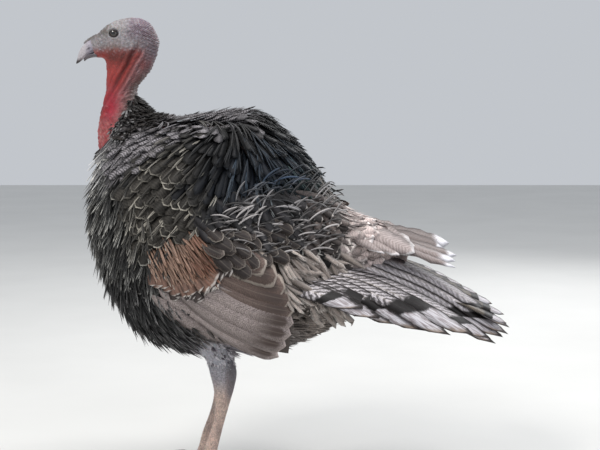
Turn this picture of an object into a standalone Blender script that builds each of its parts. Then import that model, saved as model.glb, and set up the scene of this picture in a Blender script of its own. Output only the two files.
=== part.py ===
"""A standing turkey of the grey-and-bronze farmyard kind, life size, as closed solids.

Metres, +Z up, the floor at z = 0. The bird faces -X and its left side is towards -Y.
Every node is the outer shape of its part, out to the tips of the feathers.
"""
import math

import bmesh
import bpy
from mathutils import Vector

# ---- driving dimensions -------------------------------------------------------------------
GAP = 0.0003                 # clearance between neighbouring solids
AROUND = 24                  # points in one ring of the body
RING_STEPS = 2               # rings made from each row of BODY

EYE_CENTRE = (-0.2963, 0.0143, 0.7415)
EYE_RADIUS = 0.0082
SNOOD_ROOT = (-0.3305, 0.7385)
SNOOD_LENGTH = 0.009
SNOOD_RADIUS = 0.0042

LEG_SPREAD = 0.066           # half the distance between the shanks
TOE_SINK = 0.82              # a toe's middle line above the floor, as a share of its radius
FAR_LEG_SHIFT = -0.010       # the right leg stands a little ahead of the left one

TAIL_START = 0.035           # where a fan's plate begins, inside the rump's outline
TAIL_TIP_THICK = 0.003
TAIL_SHORTEST = 0.200        # the outermost feather of the near side
TAIL_LONGEST = 0.329

# The body's rings, from the bill's base over the crown, down the neck and back to the rump.
# Each row: top x, top z, bottom x, bottom z, half width, height of the widest level (0 to 1).
BODY = (
    (-0.337, 0.734, -0.328, 0.703, 0.0120, 0.45),
    (-0.324, 0.743, -0.322, 0.703, 0.0165, 0.48),
    (-0.310, 0.755, -0.318, 0.702, 0.0190, 0.55),
    (-0.295, 0.763, -0.315, 0.700, 0.0205, 0.60),
    (-0.277, 0.767, -0.313, 0.698, 0.0228, 0.60),
    (-0.256, 0.767, -0.312, 0.695, 0.0240, 0.60),
    (-0.239, 0.758, -0.312, 0.691, 0.0246, 0.60),
    (-0.229, 0.741, -0.312, 0.685, 0.0250, 0.60),
    (-0.225, 0.722, -0.312, 0.677, 0.0252, 0.60),
    (-0.238, 0.685, -0.313, 0.652, 0.0262, 0.58),
    (-0.259, 0.654, -0.322, 0.626, 0.0300, 0.55),
    (-0.247, 0.626, -0.329, 0.588, 0.0440, 0.52),
    (-0.229, 0.611, -0.330, 0.565, 0.0600, 0.50),
    (-0.195, 0.606, -0.332, 0.530, 0.0860, 0.50),
    (-0.146, 0.610, -0.338, 0.487, 0.1190, 0.50),
    (-0.098, 0.616, -0.342, 0.436, 0.1460, 0.50),
    (-0.055, 0.612, -0.335, 0.383, 0.1610, 0.50),
    (-0.017, 0.583, -0.317, 0.332, 0.1660, 0.48),
    (0.013, 0.550, -0.287, 0.275, 0.1640, 0.46),
    (0.038, 0.514, -0.242, 0.234, 0.1550, 0.45),
    (0.060, 0.478, -0.180, 0.213, 0.1390, 0.45),
    (0.085, 0.454, -0.104, 0.210, 0.1160, 0.45),
    (0.114, 0.440, -0.014, 0.222, 0.0880, 0.47),
    (0.140, 0.428, 0.056, 0.252, 0.0620, 0.50),
    (0.158, 0.408, 0.108, 0.300, 0.0420, 0.50),
    (0.166, 0.388, 0.146, 0.346, 0.0180, 0.50),
)
# Each node of the body's length: its name, its first row, its last row, its material.
SLICES = (
    ("head", 0, 8, "bare_skin"),
    ("neck_upper", 8, 10, "bare_skin"),
    ("neck_lower", 10, 13, "neck_feathers"),
    ("breast", 13, 17, "breast_feathers"),
    ("trunk", 17, 21, "body_feathers"),
    ("rump", 21, 25, "body_feathers"),
)
# The two halves of the bill, in rows like those of BODY.
UPPER_BILL = (
    (-0.3372, 0.7338, -0.3309, 0.7095, 0.0112, 0.40),
    (-0.3455, 0.7270, -0.3373, 0.7082, 0.0095, 0.35),
    (-0.3530, 0.7190, -0.3448, 0.7039, 0.0075, 0.32),
    (-0.3575, 0.7100, -0.3515, 0.6992, 0.0054, 0.32),
    (-0.3600, 0.7015, -0.3560, 0.6955, 0.0034, 0.35),
    (-0.3622, 0.6938, -0.3610, 0.6925, 0.0008, 0.50),
)
LOWER_BILL = (
    (-0.3306, 0.7087, -0.3277, 0.7032, 0.0100, 0.70),
    (-0.3371, 0.7067, -0.3356, 0.7016, 0.0082, 0.75),
    (-0.3430, 0.7028, -0.3426, 0.6985, 0.0055, 0.75),
    (-0.3480, 0.6965, -0.3475, 0.6948, 0.0012, 0.60),
)
# The folded wing's ribs, from the wrist to the tips of the flight feathers.
# Each row: top x, top z, bottom x, bottom z, y at the top, y at the bottom, bulge, depth.
WING = (
    (-0.235, 0.408, -0.235, 0.382, 0.122, 0.120, 0.004, 0.030),
    (-0.206, 0.431, -0.214, 0.349, 0.132, 0.122, 0.024, 0.050),
    (-0.162, 0.444, -0.176, 0.313, 0.140, 0.132, 0.042, 0.060),
    (-0.115, 0.449, -0.130, 0.273, 0.142, 0.140, 0.050, 0.060),
    (-0.069, 0.440, -0.087, 0.246, 0.138, 0.142, 0.048, 0.056),
    (-0.026, 0.416, -0.043, 0.229, 0.128, 0.142, 0.040, 0.048),
    (0.011, 0.384, -0.009, 0.223, 0.116, 0.140, 0.026, 0.030),
    (0.032, 0.346, 0.008, 0.224, 0.112, 0.134, 0.010, 0.012),
)
WING_AROUND = 9              # points on each side of a rib
# The legs. Each row: x, z, half depth along the bird, half width across it.
THIGH = (
    (-0.162, 0.316, 0.040, 0.036),
    (-0.150, 0.261, 0.038, 0.034),
    (-0.134, 0.228, 0.031, 0.028),
    (-0.123, 0.209, 0.024, 0.020),
)
SHANK = (
    (-0.123, 0.209, 0.0225, 0.0175),
    (-0.118, 0.188, 0.0222, 0.0180),
    (-0.116, 0.166, 0.0190, 0.0160),
    (-0.118, 0.142, 0.0145, 0.0125),
    (-0.123, 0.118, 0.0100, 0.0092),
    (-0.127, 0.101, 0.0092, 0.0085),
    (-0.133, 0.080, 0.0098, 0.0087),
    (-0.141, 0.054, 0.0118, 0.0105),
    (-0.146, 0.029, 0.0135, 0.0126),
)
ANKLE = (
    (-0.146, 0.029, 0.0135, 0.0126),
    (-0.149, 0.017, 0.0155, 0.0155),
    (-0.150, 0.005, 0.0148, 0.0152),
    (-0.150, -0.003, 0.0122, 0.0132),
)
# The toes. Each row: name, bearing from straight ahead in degrees, length, radius.
TOES = (
    ("inner", 31, 0.060, 0.0078),
    ("middle", 3, 0.083, 0.0086),
    ("outer", -27, 0.064, 0.0078),
    ("hind", 170, 0.043, 0.0072),
)
CLAW_LENGTH = 0.017

COLOURS = {
    "bare_skin": ((0.36, 0.20, 0.21), 0.55),
    "snood_skin": ((0.45, 0.24, 0.25), 0.55),
    "bill_horn": ((0.46, 0.41, 0.38), 0.35),
    "eye": ((0.02, 0.015, 0.01), 0.08),
    "neck_feathers": ((0.10, 0.095, 0.09), 0.6),
    "breast_feathers": ((0.03, 0.03, 0.028), 0.55),
    "body_feathers": ((0.07, 0.065, 0.062), 0.6),
    "wing_feathers": ((0.24, 0.20, 0.18), 0.6),
    "tail_feathers": ((0.36, 0.33, 0.31), 0.6),
    "covert_feathers": ((0.50, 0.42, 0.37), 0.6),
    "thigh_down": ((0.36, 0.35, 0.36), 0.8),
    "leg_skin": ((0.42, 0.29, 0.25), 0.5),
    "claw_horn": ((0.16, 0.12, 0.10), 0.35),
}


# ---- scene, materials and small helpers ---------------------------------------------------
def clear_scene():
    """Take every object out of the scene."""
    for item in list(bpy.data.objects):
        bpy.data.objects.remove(item, do_unlink=True)


def collection(name):
    """A collection of this name, linked to the scene."""
    group = bpy.data.collections.new(name)
    bpy.context.scene.collection.children.link(group)
    return group


def material(name):
    """The Principled material of one finish, made once."""
    if name in bpy.data.materials:
        return bpy.data.materials[name]
    colour, roughness = COLOURS[name]
    finish = bpy.data.materials.new(name)
    finish.use_nodes = True
    shader = finish.node_tree.nodes["Principled BSDF"]
    shader.inputs["Base Color"].default_value = (*colour, 1.0)
    shader.inputs["Roughness"].default_value = roughness
    return finish


def mix(a, b, t):
    """The value a share t of the way from a to b, also for rows of numbers."""
    if isinstance(a, (tuple, list)):
        return tuple(mix(p, q, t) for p, q in zip(a, b))
    return a + (b - a) * t


def smooth_rows(rows, steps):
    """Rows on the Catmull-Rom curve through the given rows, with `steps` to each span."""
    out = []
    last = len(rows) - 1
    for i in range(last):
        p0, p1, p2, p3 = rows[max(i - 1, 0)], rows[i], rows[i + 1], rows[min(i + 2, last)]
        for k in range(steps):
            t = k / steps
            out.append(tuple(
                0.5 * (2 * b + (c - a) * t + (2 * a - 5 * b + 4 * c - d) * t * t
                       + (3 * b - a - 3 * c + d) * t ** 3)
                for a, b, c, d in zip(p0, p1, p2, p3)))
    out.append(tuple(rows[last]))
    return out


def new_object(name, mesh_data, group, finish=None):
    """An object holding the bmesh, shaded smooth, in the given collection."""
    bmesh.ops.recalc_face_normals(mesh_data, faces=mesh_data.faces)
    mesh = bpy.data.meshes.new(name)
    mesh_data.to_mesh(mesh)
    mesh_data.free()
    mesh.shade_smooth()
    mesh.set_sharp_from_angle(angle=math.radians(40))
    item = bpy.data.objects.new(name, mesh)
    if finish:
        mesh.materials.append(material(finish))
    group.objects.link(item)
    return item


def cutter(item):
    """Mark an object as a tool that only cuts."""
    item.hide_render = True
    item.display_type = "WIRE"
    return item


def boolean(item, other, operation="DIFFERENCE"):
    """Give an object a Boolean with another one."""
    modifier = item.modifiers.new(operation.lower(), "BOOLEAN")
    modifier.operation = operation
    modifier.solver = "EXACT"
    modifier.object = other


def loft(rings):
    """A closed bmesh through rings of equal length, with a flat cap at each end."""
    mesh_data = bmesh.new()
    loops = [[mesh_data.verts.new(point) for point in ring] for ring in rings]
    for near, far in zip(loops, loops[1:]):
        for i in range(len(near)):
            k = (i + 1) % len(near)
            mesh_data.faces.new((near[i], near[k], far[k]))
            mesh_data.faces.new((near[i], far[k], far[i]))
    mesh_data.faces.new(loops[0])
    mesh_data.faces.new(loops[-1])
    return mesh_data


def nudge(ring, towards, distance):
    """A ring moved squarely off its own plane towards another one."""
    here = sum(ring, Vector()) / len(ring)
    there = sum(towards, Vector()) / len(towards)
    normal = (ring[0] - here).cross(ring[len(ring) // 4] - here).normalized()
    if normal.dot(there - here) < 0:
        normal.negate()
    return [point + normal * distance for point in ring]


# ---- head, neck and trunk -----------------------------------------------------------------
def body_ring(row, grow=0.0, around=AROUND):
    """One upright ring between a top and a bottom point of the bird's middle plane."""
    top = Vector((row[0], 0, row[1]))
    bottom = Vector((row[2], 0, row[3]))
    along = (top - bottom).normalized()
    top += along * grow
    bottom -= along * grow
    middle = bottom.lerp(top, row[5])
    points = []
    for i in range(around):
        angle = math.tau * i / around
        level = math.cos(angle)
        reach = (top if level > 0 else bottom) - middle
        point = middle + reach * abs(level)
        point.y = (row[4] + grow) * math.sin(angle)
        points.append(point)
    return points


def body_rows(first, last):
    """The smoothed rows of the body between two rows of BODY."""
    return smooth_rows(BODY, RING_STEPS)[first * RING_STEPS:last * RING_STEPS + 1]


def body_slice(name, first_row, last_row, group, finish):
    """One length of the body, its ends drawn back by half the gap."""
    rings = [body_ring(row) for row in body_rows(first_row, last_row)]
    first = nudge(rings[0], rings[1], GAP / 2)
    last = nudge(rings[-1], rings[-2], GAP / 2)
    return new_object(name, loft([first, *rings[1:-1], last]), group, finish)


def bill_half(name, rows, group):
    """One half of the bill, lofted from its base to its tip."""
    rings = [body_ring(row, around=16) for row in smooth_rows(rows, 2)]
    rings[0] = nudge(rings[0], rings[1], GAP)
    return new_object(name, loft(rings), group, "bill_horn")


def ball(name, centre, radius, group, finish=None, segments=16):
    """A sphere at its place, its poles along Y."""
    mesh_data = bmesh.new()
    bmesh.ops.create_uvsphere(mesh_data, u_segments=segments, v_segments=segments // 2,
                              radius=radius)
    for vert in mesh_data.verts:
        x, y, z = vert.co
        vert.co = Vector((x, z, -y)) + Vector(centre)
    return new_object(name, mesh_data, group, finish)


def make_body(parts, cutters):
    """Head, neck, breast, trunk and rump, with the eyes, bill and snood."""
    nodes = {name: body_slice(name, first, last, parts, finish)
             for name, first, last, finish in SLICES}
    x, y, z = EYE_CENTRE
    for side, sign in (("left", -1), ("right", 1)):
        centre = (x, sign * y, z)
        ball(f"eye_{side}", centre, EYE_RADIUS, parts, "eye")
        socket = ball(f"socket_{side}", centre, EYE_RADIUS + GAP, cutters)
        boolean(nodes["head"], cutter(socket))
    bill_half("bill_upper", UPPER_BILL, parts)
    bill_half("bill_lower", LOWER_BILL, parts)
    make_snood(parts, cutters)
    return nodes


def make_snood(parts, cutters):
    """The drawn-in snood, a small fleshy cone over the bill's base."""
    lean = Vector((-0.97, 0, 0.24))
    root = Vector((SNOOD_ROOT[0], 0, SNOOD_ROOT[1])) - lean * 0.006
    across = Vector((0, 1, 0))
    up = lean.cross(across)
    rings = []
    for share, width in ((0, 1.0), (0.45, 0.95), (0.75, 0.7), (0.93, 0.4), (1, 0.12)):
        middle = root + lean * (share * (SNOOD_LENGTH + 0.006))
        rings.append([middle + (across * math.cos(a) + up * math.sin(a)) * width * SNOOD_RADIUS
                      for a in (math.tau * i / 12 for i in range(12))])
    snood = new_object("snood", loft(rings), parts, "snood_skin")
    face = loft([body_ring(row, GAP) for row in body_rows(0, 8)])
    boolean(snood, cutter(new_object("face_room", face, cutters)))


# ---- wings --------------------------------------------------------------------------------
def wing_ring(row, sign):
    """One rib of the folded wing, bulging outwards and reaching into the body."""
    ring = []
    top = (row[0], row[1])
    bottom = (row[2], row[3])
    for side, reach in ((1, row[6]), (-1, row[7])):
        for i in range(WING_AROUND):
            share = i / WING_AROUND if side > 0 else 1 - i / WING_AROUND
            x, z = mix(top, bottom, share)
            edge = mix(row[4], row[5], share)
            crown = math.sin(math.pi * share) ** 0.8 if 0 < share < 1 else 0.0
            y = edge + side * (reach * crown + 0.0012)
            ring.append(Vector((x, sign * y, z)))
    return ring


def make_wings(parts, room):
    """Both folded wings, each cut back to lie on the body."""
    for side, sign in (("left", -1), ("right", 1)):
        rings = [wing_ring(row, sign) for row in smooth_rows(WING, 2)]
        wing = new_object(f"wing_{side}", loft(rings), parts, "wing_feathers")
        boolean(wing, room)


# ---- tail ---------------------------------------------------------------------------------
# A fan's root, its pitch and roll in degrees, how far its sides bend down for each metre of
# width, its bearings, its share of the tail's length, its thickness at the root, its feathers.
TAIL = ((0.056, 0.399), 21.5, 11, 0.6, (-62, 36), 1.0, 0.015, 14)
COVERTS = ((0.058, 0.421), 12.5, 11, 0.6, (-42, 33), 0.71, 0.011, 8)


def fan_point(shape, bearing, reach, rise):
    """A point of a fan at a bearing, a distance from its root and a rise off its surface."""
    (root_x, root_z), pitch, roll, arch = shape[:4]
    pitch, roll, bearing = (math.radians(angle) for angle in (pitch, roll, bearing))
    side = reach * math.sin(bearing)
    ahead = reach * math.cos(bearing)
    lift = rise - arch * side * side
    y = side * math.cos(roll) - lift * math.sin(roll)
    up = side * math.sin(roll) + lift * math.cos(roll)
    return Vector((root_x + ahead * math.cos(pitch) + up * math.sin(pitch), y,
                   root_z - ahead * math.sin(pitch) + up * math.cos(pitch)))


def feather_length(bearing):
    """A tail feather's length, longest in the middle and shortest on the near side."""
    near, far = TAIL[4]
    near_share = max(0.0, bearing / near)
    far_share = max(0.0, bearing / far)
    return TAIL_LONGEST - (TAIL_LONGEST - TAIL_SHORTEST) * near_share ** 1.8 \
        - 0.019 * far_share ** 2


def fan(name, shape, group, finish):
    """A closed plate of overlapping feathers, its edge scalloped at their tips."""
    near, far = shape[4]
    share, root_thick, feathers = shape[5:]
    columns = feathers * 2
    rings = []
    for u in (0.0, 0.25, 0.5, 0.75, 0.92, 1.0):
        half = mix(root_thick, TAIL_TIP_THICK, u ** 0.7) / 2
        above, below = [], []
        for j in range(columns + 1):
            bearing = mix(near, far, j / columns)
            notch = 1.0 if j % 2 else 0.975
            reach = mix(TAIL_START, feather_length(bearing) * share * notch, u)
            above.append(fan_point(shape, bearing, reach, half))
            below.append(fan_point(shape, bearing, reach, -half))
        rings.append(above + below[::-1])
    return new_object(name, loft(rings), group, finish)


def make_tail(parts, room):
    """The half-spread tail and the long coverts standing a little off it."""
    boolean(fan("tail", TAIL, parts, "tail_feathers"), room)
    boolean(fan("tail_coverts", COVERTS, parts, "covert_feathers"), room)


# ---- legs ---------------------------------------------------------------------------------
def leg_rings(rows, side, shift, around=14):
    """Level rings down a leg."""
    rings = []
    for x, z, depth, width in smooth_rows(rows, 2):
        rings.append([Vector((x + shift + depth * math.cos(a), side * LEG_SPREAD
                              + width * math.sin(a), z))
                      for a in (math.tau * i / around for i in range(around))])
    return rings


def toe_path(bearing, length, radius):
    """A toe's middle line: a low arch from the ankle to the root of its claw."""
    heading = Vector((-math.cos(math.radians(bearing)), -math.sin(math.radians(bearing)), 0))
    points = []
    for share in (0.0, 0.18, 0.4, 0.62, 0.82, 1.0):
        rise = TOE_SINK * radius + 0.004 * (1 - share) ** 3
        points.append(heading * (share * length) + Vector((0, 0, rise)))
    return heading, points


def tube_rings(points, radii, heading, around=8):
    """Upright rings square to a heading, round the given points."""
    across = Vector((0, 0, 1)).cross(heading).normalized()
    return [[point + (across * math.cos(a) + Vector((0, 0, 1)) * math.sin(a)) * radius
             for a in (math.tau * i / around for i in range(around))]
            for point, radius in zip(points, radii)]


def make_foot(name, ankle_rings, ankle, side, parts, cutters, floor):
    """Four toes joined under the ankle, flat on the floor, each with its claw."""
    ankle_rings[0] = nudge(ankle_rings[0], ankle_rings[1], GAP)
    foot = new_object(name, loft(ankle_rings), parts, "leg_skin")
    for toe, bearing, length, radius in TOES:
        heading, points = toe_path(bearing * side, length, radius)
        points = [point + ankle for point in points]
        radii = [radius * f for f in (1.0, 0.94, 1.02, 0.88, 0.92, 0.62)]
        rings = tube_rings(points, radii, heading)
        boolean(foot, cutter(new_object(f"{name}_{toe}", loft(rings), cutters)), "UNION")
        make_claw(f"{name.replace('foot', 'claw')}_{toe}", points[-1], heading, radius, parts)
    boolean(foot, floor)


def make_claw(name, root, heading, radius, parts):
    """One down-curved claw just clear of its toe."""
    points, radii = [], []
    for share in (0.0, 0.35, 0.7, 1.0):
        drop = -(TOE_SINK * radius - 0.0009) * share ** 2 + 0.0006 * math.sin(math.pi * share)
        points.append(root + heading * (GAP + share * CLAW_LENGTH) + Vector((0, 0, drop)))
        radii.append(radius * 0.52 * (1 - share) ** 0.8 + 0.0005)
    new_object(name, loft(tube_rings(points, radii, heading, 6)), parts, "claw_horn")


def make_legs(parts, cutters, room):
    """Thighs, shanks and feet, on the floor under the body."""
    mesh_data = bmesh.new()
    bmesh.ops.create_cube(mesh_data, size=1.0)
    for vert in mesh_data.verts:
        vert.co.z -= 0.5
    floor = cutter(new_object("floor_room", mesh_data, cutters))
    for side, sign, shift in (("left", -1, 0.0), ("right", 1, FAR_LEG_SHIFT)):
        rings = leg_rings(THIGH, sign, shift)
        rings[-1] = nudge(rings[-1], rings[-2], GAP)
        thigh = new_object(f"thigh_{side}", loft(rings), parts, "thigh_down")
        boolean(thigh, room)
        rings = leg_rings(SHANK, sign, shift)
        new_object(f"shank_{side}", loft(rings), parts, "leg_skin")
        ankle = Vector((ANKLE[-1][0] + shift, sign * LEG_SPREAD, 0))
        make_foot(f"foot_{side}", leg_rings(ANKLE, sign, shift), ankle, -sign, parts, cutters,
                  floor)


# ---- the whole bird -----------------------------------------------------------------------
def main():
    """Build the turkey."""
    clear_scene()
    parts = collection("turkey")
    cutters = collection("cutters")
    make_body(parts, cutters)
    rings = [body_ring(row, GAP) for row in body_rows(10, len(BODY) - 1)]
    room = cutter(new_object("body_room", loft(rings), cutters))
    make_wings(parts, room)
    make_tail(parts, room)
    make_legs(parts, cutters, room)


main()
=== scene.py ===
"""A young tom turkey at life size: one skin, its bare head and feet, and its whole plumage."""
import functools
import math

import bmesh
import bpy
import numpy as np
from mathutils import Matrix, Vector


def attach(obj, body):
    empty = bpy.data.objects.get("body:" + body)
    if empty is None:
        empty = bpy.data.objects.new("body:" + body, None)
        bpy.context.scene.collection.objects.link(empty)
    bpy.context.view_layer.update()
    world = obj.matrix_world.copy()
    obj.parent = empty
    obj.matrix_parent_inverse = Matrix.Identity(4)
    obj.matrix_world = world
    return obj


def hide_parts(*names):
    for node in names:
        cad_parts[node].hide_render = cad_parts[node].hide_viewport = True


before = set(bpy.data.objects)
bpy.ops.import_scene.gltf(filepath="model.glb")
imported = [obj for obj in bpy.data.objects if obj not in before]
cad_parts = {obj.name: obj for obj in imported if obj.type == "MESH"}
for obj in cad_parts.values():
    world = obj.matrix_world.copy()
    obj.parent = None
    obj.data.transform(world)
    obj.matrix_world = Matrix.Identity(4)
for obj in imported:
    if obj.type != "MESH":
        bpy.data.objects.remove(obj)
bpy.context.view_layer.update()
TAU = math.tau
UP = np.array((0.0, 0.0, 1.0))
SIDES = (("left", -1), ("right", 1))

# ---- the bird's sizes, in metres ----
# Each row is one ring of the body: its top x and z, bottom x and z, half width, widest level.
BODY = np.array((
    (-0.337, 0.734, -0.328, 0.703, 0.0120, 0.45), (-0.324, 0.743, -0.322, 0.703, 0.0165, 0.48),
    (-0.310, 0.755, -0.318, 0.702, 0.0190, 0.55), (-0.295, 0.763, -0.315, 0.700, 0.0205, 0.60),
    (-0.277, 0.767, -0.313, 0.698, 0.0228, 0.60), (-0.256, 0.767, -0.312, 0.695, 0.0240, 0.60),
    (-0.239, 0.758, -0.312, 0.691, 0.0246, 0.60), (-0.229, 0.741, -0.312, 0.685, 0.0250, 0.60),
    (-0.225, 0.722, -0.312, 0.677, 0.0252, 0.60), (-0.238, 0.685, -0.313, 0.652, 0.0262, 0.58),
    (-0.259, 0.654, -0.318, 0.626, 0.0300, 0.55), (-0.247, 0.626, -0.324, 0.588, 0.0440, 0.52),
    (-0.229, 0.611, -0.327, 0.565, 0.0600, 0.50), (-0.195, 0.606, -0.332, 0.530, 0.0860, 0.50),
    (-0.146, 0.610, -0.338, 0.487, 0.1190, 0.50), (-0.098, 0.616, -0.342, 0.436, 0.1460, 0.50),
    (-0.055, 0.612, -0.335, 0.383, 0.1610, 0.50), (-0.017, 0.583, -0.317, 0.332, 0.1660, 0.48),
    (0.013, 0.550, -0.287, 0.275, 0.1640, 0.46), (0.038, 0.514, -0.242, 0.234, 0.1550, 0.45),
    (0.060, 0.478, -0.180, 0.213, 0.1390, 0.45), (0.085, 0.454, -0.104, 0.210, 0.1160, 0.45),
    (0.114, 0.440, -0.014, 0.222, 0.0880, 0.47), (0.140, 0.428, 0.056, 0.252, 0.0620, 0.50),
    (0.158, 0.408, 0.108, 0.300, 0.0420, 0.50), (0.166, 0.388, 0.146, 0.346, 0.0180, 0.50)))
UPPER_BILL = np.array((
    (-0.3372, 0.7338, -0.3309, 0.7095, 0.0112, 0.40), (-0.3455, 0.7270, -0.3373, 0.7082, 0.0095, 0.35),
    (-0.3530, 0.7190, -0.3448, 0.7039, 0.0075, 0.32), (-0.3575, 0.7100, -0.3515, 0.6992, 0.0054, 0.32),
    (-0.3600, 0.7015, -0.3560, 0.6955, 0.0034, 0.35), (-0.3622, 0.6938, -0.3610, 0.6925, 0.0008, 0.50)))
LOWER_BILL = np.array((
    (-0.3306, 0.7094, -0.3277, 0.7034, 0.0100, 0.70), (-0.3375, 0.7090, -0.3358, 0.7026, 0.0082, 0.75),
    (-0.3440, 0.7073, -0.3430, 0.7004, 0.0058, 0.75), (-0.3492, 0.7005, -0.3483, 0.6966, 0.0014, 0.60)))
NOSTRIL = (-0.3395, 0.7178)
SNOOD_ROOT = np.array((-0.3265, 0.0, 0.7378))
SNOOD_WAY = np.array((-0.885, 0.0, -0.465))
SNOOD_LENGTH = 0.0255
EYE_CENTRE = (-0.2963, 0.0143, 0.7415)
EYE_RADIUS = 0.0082
# Each fold of the throat: its rise, how far behind the long fold it lies, and its width.
THROAT_FOLDS = (
    (-0.0034, 0.0, 0.0030), (0.0016, 0.0062, 0.0026), (-0.0015, 0.0110, 0.0020),
    (0.0012, 0.0152, 0.0022), (-0.0010, 0.0195, 0.0018), (0.0014, -0.0055, 0.0028),
    (-0.0010, -0.0105, 0.0018), (0.0008, -0.0150, 0.0022))
# Each row is one rib of the folded wing: top x and z, bottom x and z, y at top and at bottom,
# and how far it bulges outwards.
WING = np.array((
    (-0.235, 0.408, -0.235, 0.382, 0.122, 0.120, 0.004),
    (-0.206, 0.431, -0.214, 0.349, 0.132, 0.122, 0.024),
    (-0.162, 0.444, -0.176, 0.313, 0.140, 0.132, 0.042),
    (-0.115, 0.449, -0.130, 0.273, 0.142, 0.140, 0.050),
    (-0.069, 0.440, -0.087, 0.246, 0.138, 0.142, 0.048),
    (-0.026, 0.416, -0.043, 0.229, 0.128, 0.142, 0.040),
    (0.011, 0.384, -0.009, 0.223, 0.116, 0.140, 0.026),
    (0.032, 0.346, 0.008, 0.224, 0.112, 0.134, 0.010)))
# Each row is one level ring of the leg: x, z, half depth, half width.
LEG = np.array((
    (-0.150, 0.330, 0.034, 0.032), (-0.146, 0.261, 0.030, 0.028), (-0.134, 0.228, 0.026, 0.023),
    (-0.123, 0.209, 0.0225, 0.0175), (-0.118, 0.188, 0.0222, 0.0180), (-0.117, 0.166, 0.0178, 0.0155),
    (-0.119, 0.142, 0.0130, 0.0120), (-0.123, 0.118, 0.0100, 0.0092), (-0.127, 0.101, 0.0092, 0.0085),
    (-0.133, 0.080, 0.0098, 0.0087), (-0.141, 0.054, 0.0118, 0.0105), (-0.146, 0.029, 0.0135, 0.0126),
    (-0.149, 0.017, 0.0152, 0.0150), (-0.150, 0.006, 0.0146, 0.0150)))
LEG_SPREAD = 0.066
FAR_LEG_SHIFT = -0.010
# Each toe: its name, its bearing in degrees from straight ahead, its length and its radius.
TOES = (("inner", 31, 0.060, 0.0078), ("middle", 3, 0.083, 0.0086),
        ("outer", -27, 0.064, 0.0078), ("hind", 170, 0.043, 0.0072))
TOE_SINK = 0.82
TOE_AROUND = 20
CLAW_LENGTH = 0.017
LEG_CELL = 0.00152
# Each fan: its root's x and z, its pitch and roll in degrees, and how far it arches.
TAIL = ((0.056, 0.399), 21.5, 11, 0.6)
COVERTS = ((0.058, 0.421), 10.5, 11, 0.6)
TAIL_SPAN = (-62, 36)
TAIL_SHORTEST = 0.200
TAIL_LONGEST = 0.329
# The near half of the tail, the outermost feather first: root x, y, z and tip x, y, z.
NEAR_QUILLS = np.array((
    (-0.012, -0.132, 0.342, 0.085, -0.172, 0.311), (0.006, -0.126, 0.347, 0.133, -0.162, 0.291),
    (0.026, -0.114, 0.353, 0.188, -0.148, 0.278), (0.046, -0.098, 0.357, 0.238, -0.128, 0.266),
    (0.066, -0.082, 0.361, 0.281, -0.105, 0.254), (0.082, -0.064, 0.366, 0.317, -0.080, 0.244),
    (0.092, -0.044, 0.374, 0.332, -0.055, 0.250), (0.100, -0.024, 0.384, 0.342, -0.030, 0.262)))
# The grid over the side view that holds how far out the bird reaches.
SIDE_STEP = 0.0025
SIDE_START = (-0.38, 0.18)
SIDE_CELLS = (300, 190)
NEAR_COUNT = 11
FAR_COUNT = 7


# ---- small helpers ----
def tint(red, green, blue):
    """A colour given by its sRGB parts, 0 to 255, as linear values."""
    parts = np.array((red, green, blue)) / 255
    return np.where(parts <= 0.04045, parts / 12.92, ((parts + 0.055) / 1.055) ** 2.4)


def layered(colour, *layers):
    """A colour with others laid over it, each given by its sRGB parts and its share."""
    for parts, share in layers:
        colour = blend(colour, tint(*parts), share)
    return colour


def unit(vectors):
    return vectors / np.maximum(np.linalg.norm(vectors, axis=-1, keepdims=True), 1e-9)


def dot(one, other):
    return np.sum(one * other, axis=-1)


def ramp(value, low, high):
    """0 below low and 1 above high, smooth between; low may be the larger."""
    share = np.clip((value - low) / (high - low), 0, 1)
    return share * share * (3 - 2 * share)


def bump(value, centre, width):
    return np.exp(-((value - centre) / width) ** 2)


def blend(one, other, share):
    share = np.asarray(share)[..., None]
    return one * (1 - share) + other * share


def xyz(x, y, z):
    return np.stack((x, y, z), axis=-1)


def distances(path):
    """How far along a line, or along each of many, its points lie."""
    step = np.linalg.norm(np.diff(path, axis=-2), axis=-1)
    return np.concatenate((0 * step[..., :1], np.cumsum(step, axis=-1)), axis=-1)


def ripple(points, pitch, seed):
    """Smooth, seeded unevenness from -1 to 1, about one swell to each pitch."""
    source = np.random.default_rng(seed)
    total = np.zeros(points.shape[:-1])
    for _ in range(7):
        way = unit(source.normal(size=3)) * TAU / pitch * source.uniform(0.6, 1.5)
        total += np.sin(points @ way + source.uniform(0, TAU))
    return total / 4.5


def smooth_rows(rows, place):
    """Rows on the Catmull-Rom curve through `rows`, running straight on past both ends."""
    last = len(rows) - 1
    held = np.clip(place, 0, last)
    i = np.minimum(held.astype(int), last - 1)
    u = (held - i)[..., None]
    p0, p1 = rows[np.maximum(i - 1, 0)], rows[i]
    p2, p3 = rows[i + 1], rows[np.minimum(i + 2, last)]
    curve = 0.5 * (2 * p1 + (p2 - p0) * u + (2 * p0 - 5 * p1 + 4 * p2 - p3) * u * u
                   + (3 * p1 - p0 - 3 * p2 + p3) * u ** 3)
    past = (place - held)[..., None]
    return curve + past * np.where(past > 0, rows[-1] - rows[-2], rows[1] - rows[0])


def ring_point(rows, place, angle):
    """Points on a body of upright rings: angle 0 is the top, a quarter turn the right side."""
    row = smooth_rows(rows, place)
    top, bottom = row[..., 0:2], row[..., 2:4]
    middle = bottom + (top - bottom) * row[..., 5:6]
    level = np.cos(angle)[..., None]
    flat = middle + (np.where(level > 0, top, bottom) - middle) * np.abs(level)
    return xyz(flat[..., 0], row[..., 4] * np.sin(angle), flat[..., 1])


def body_point(place, angle):
    return ring_point(BODY, place, angle)


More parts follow.
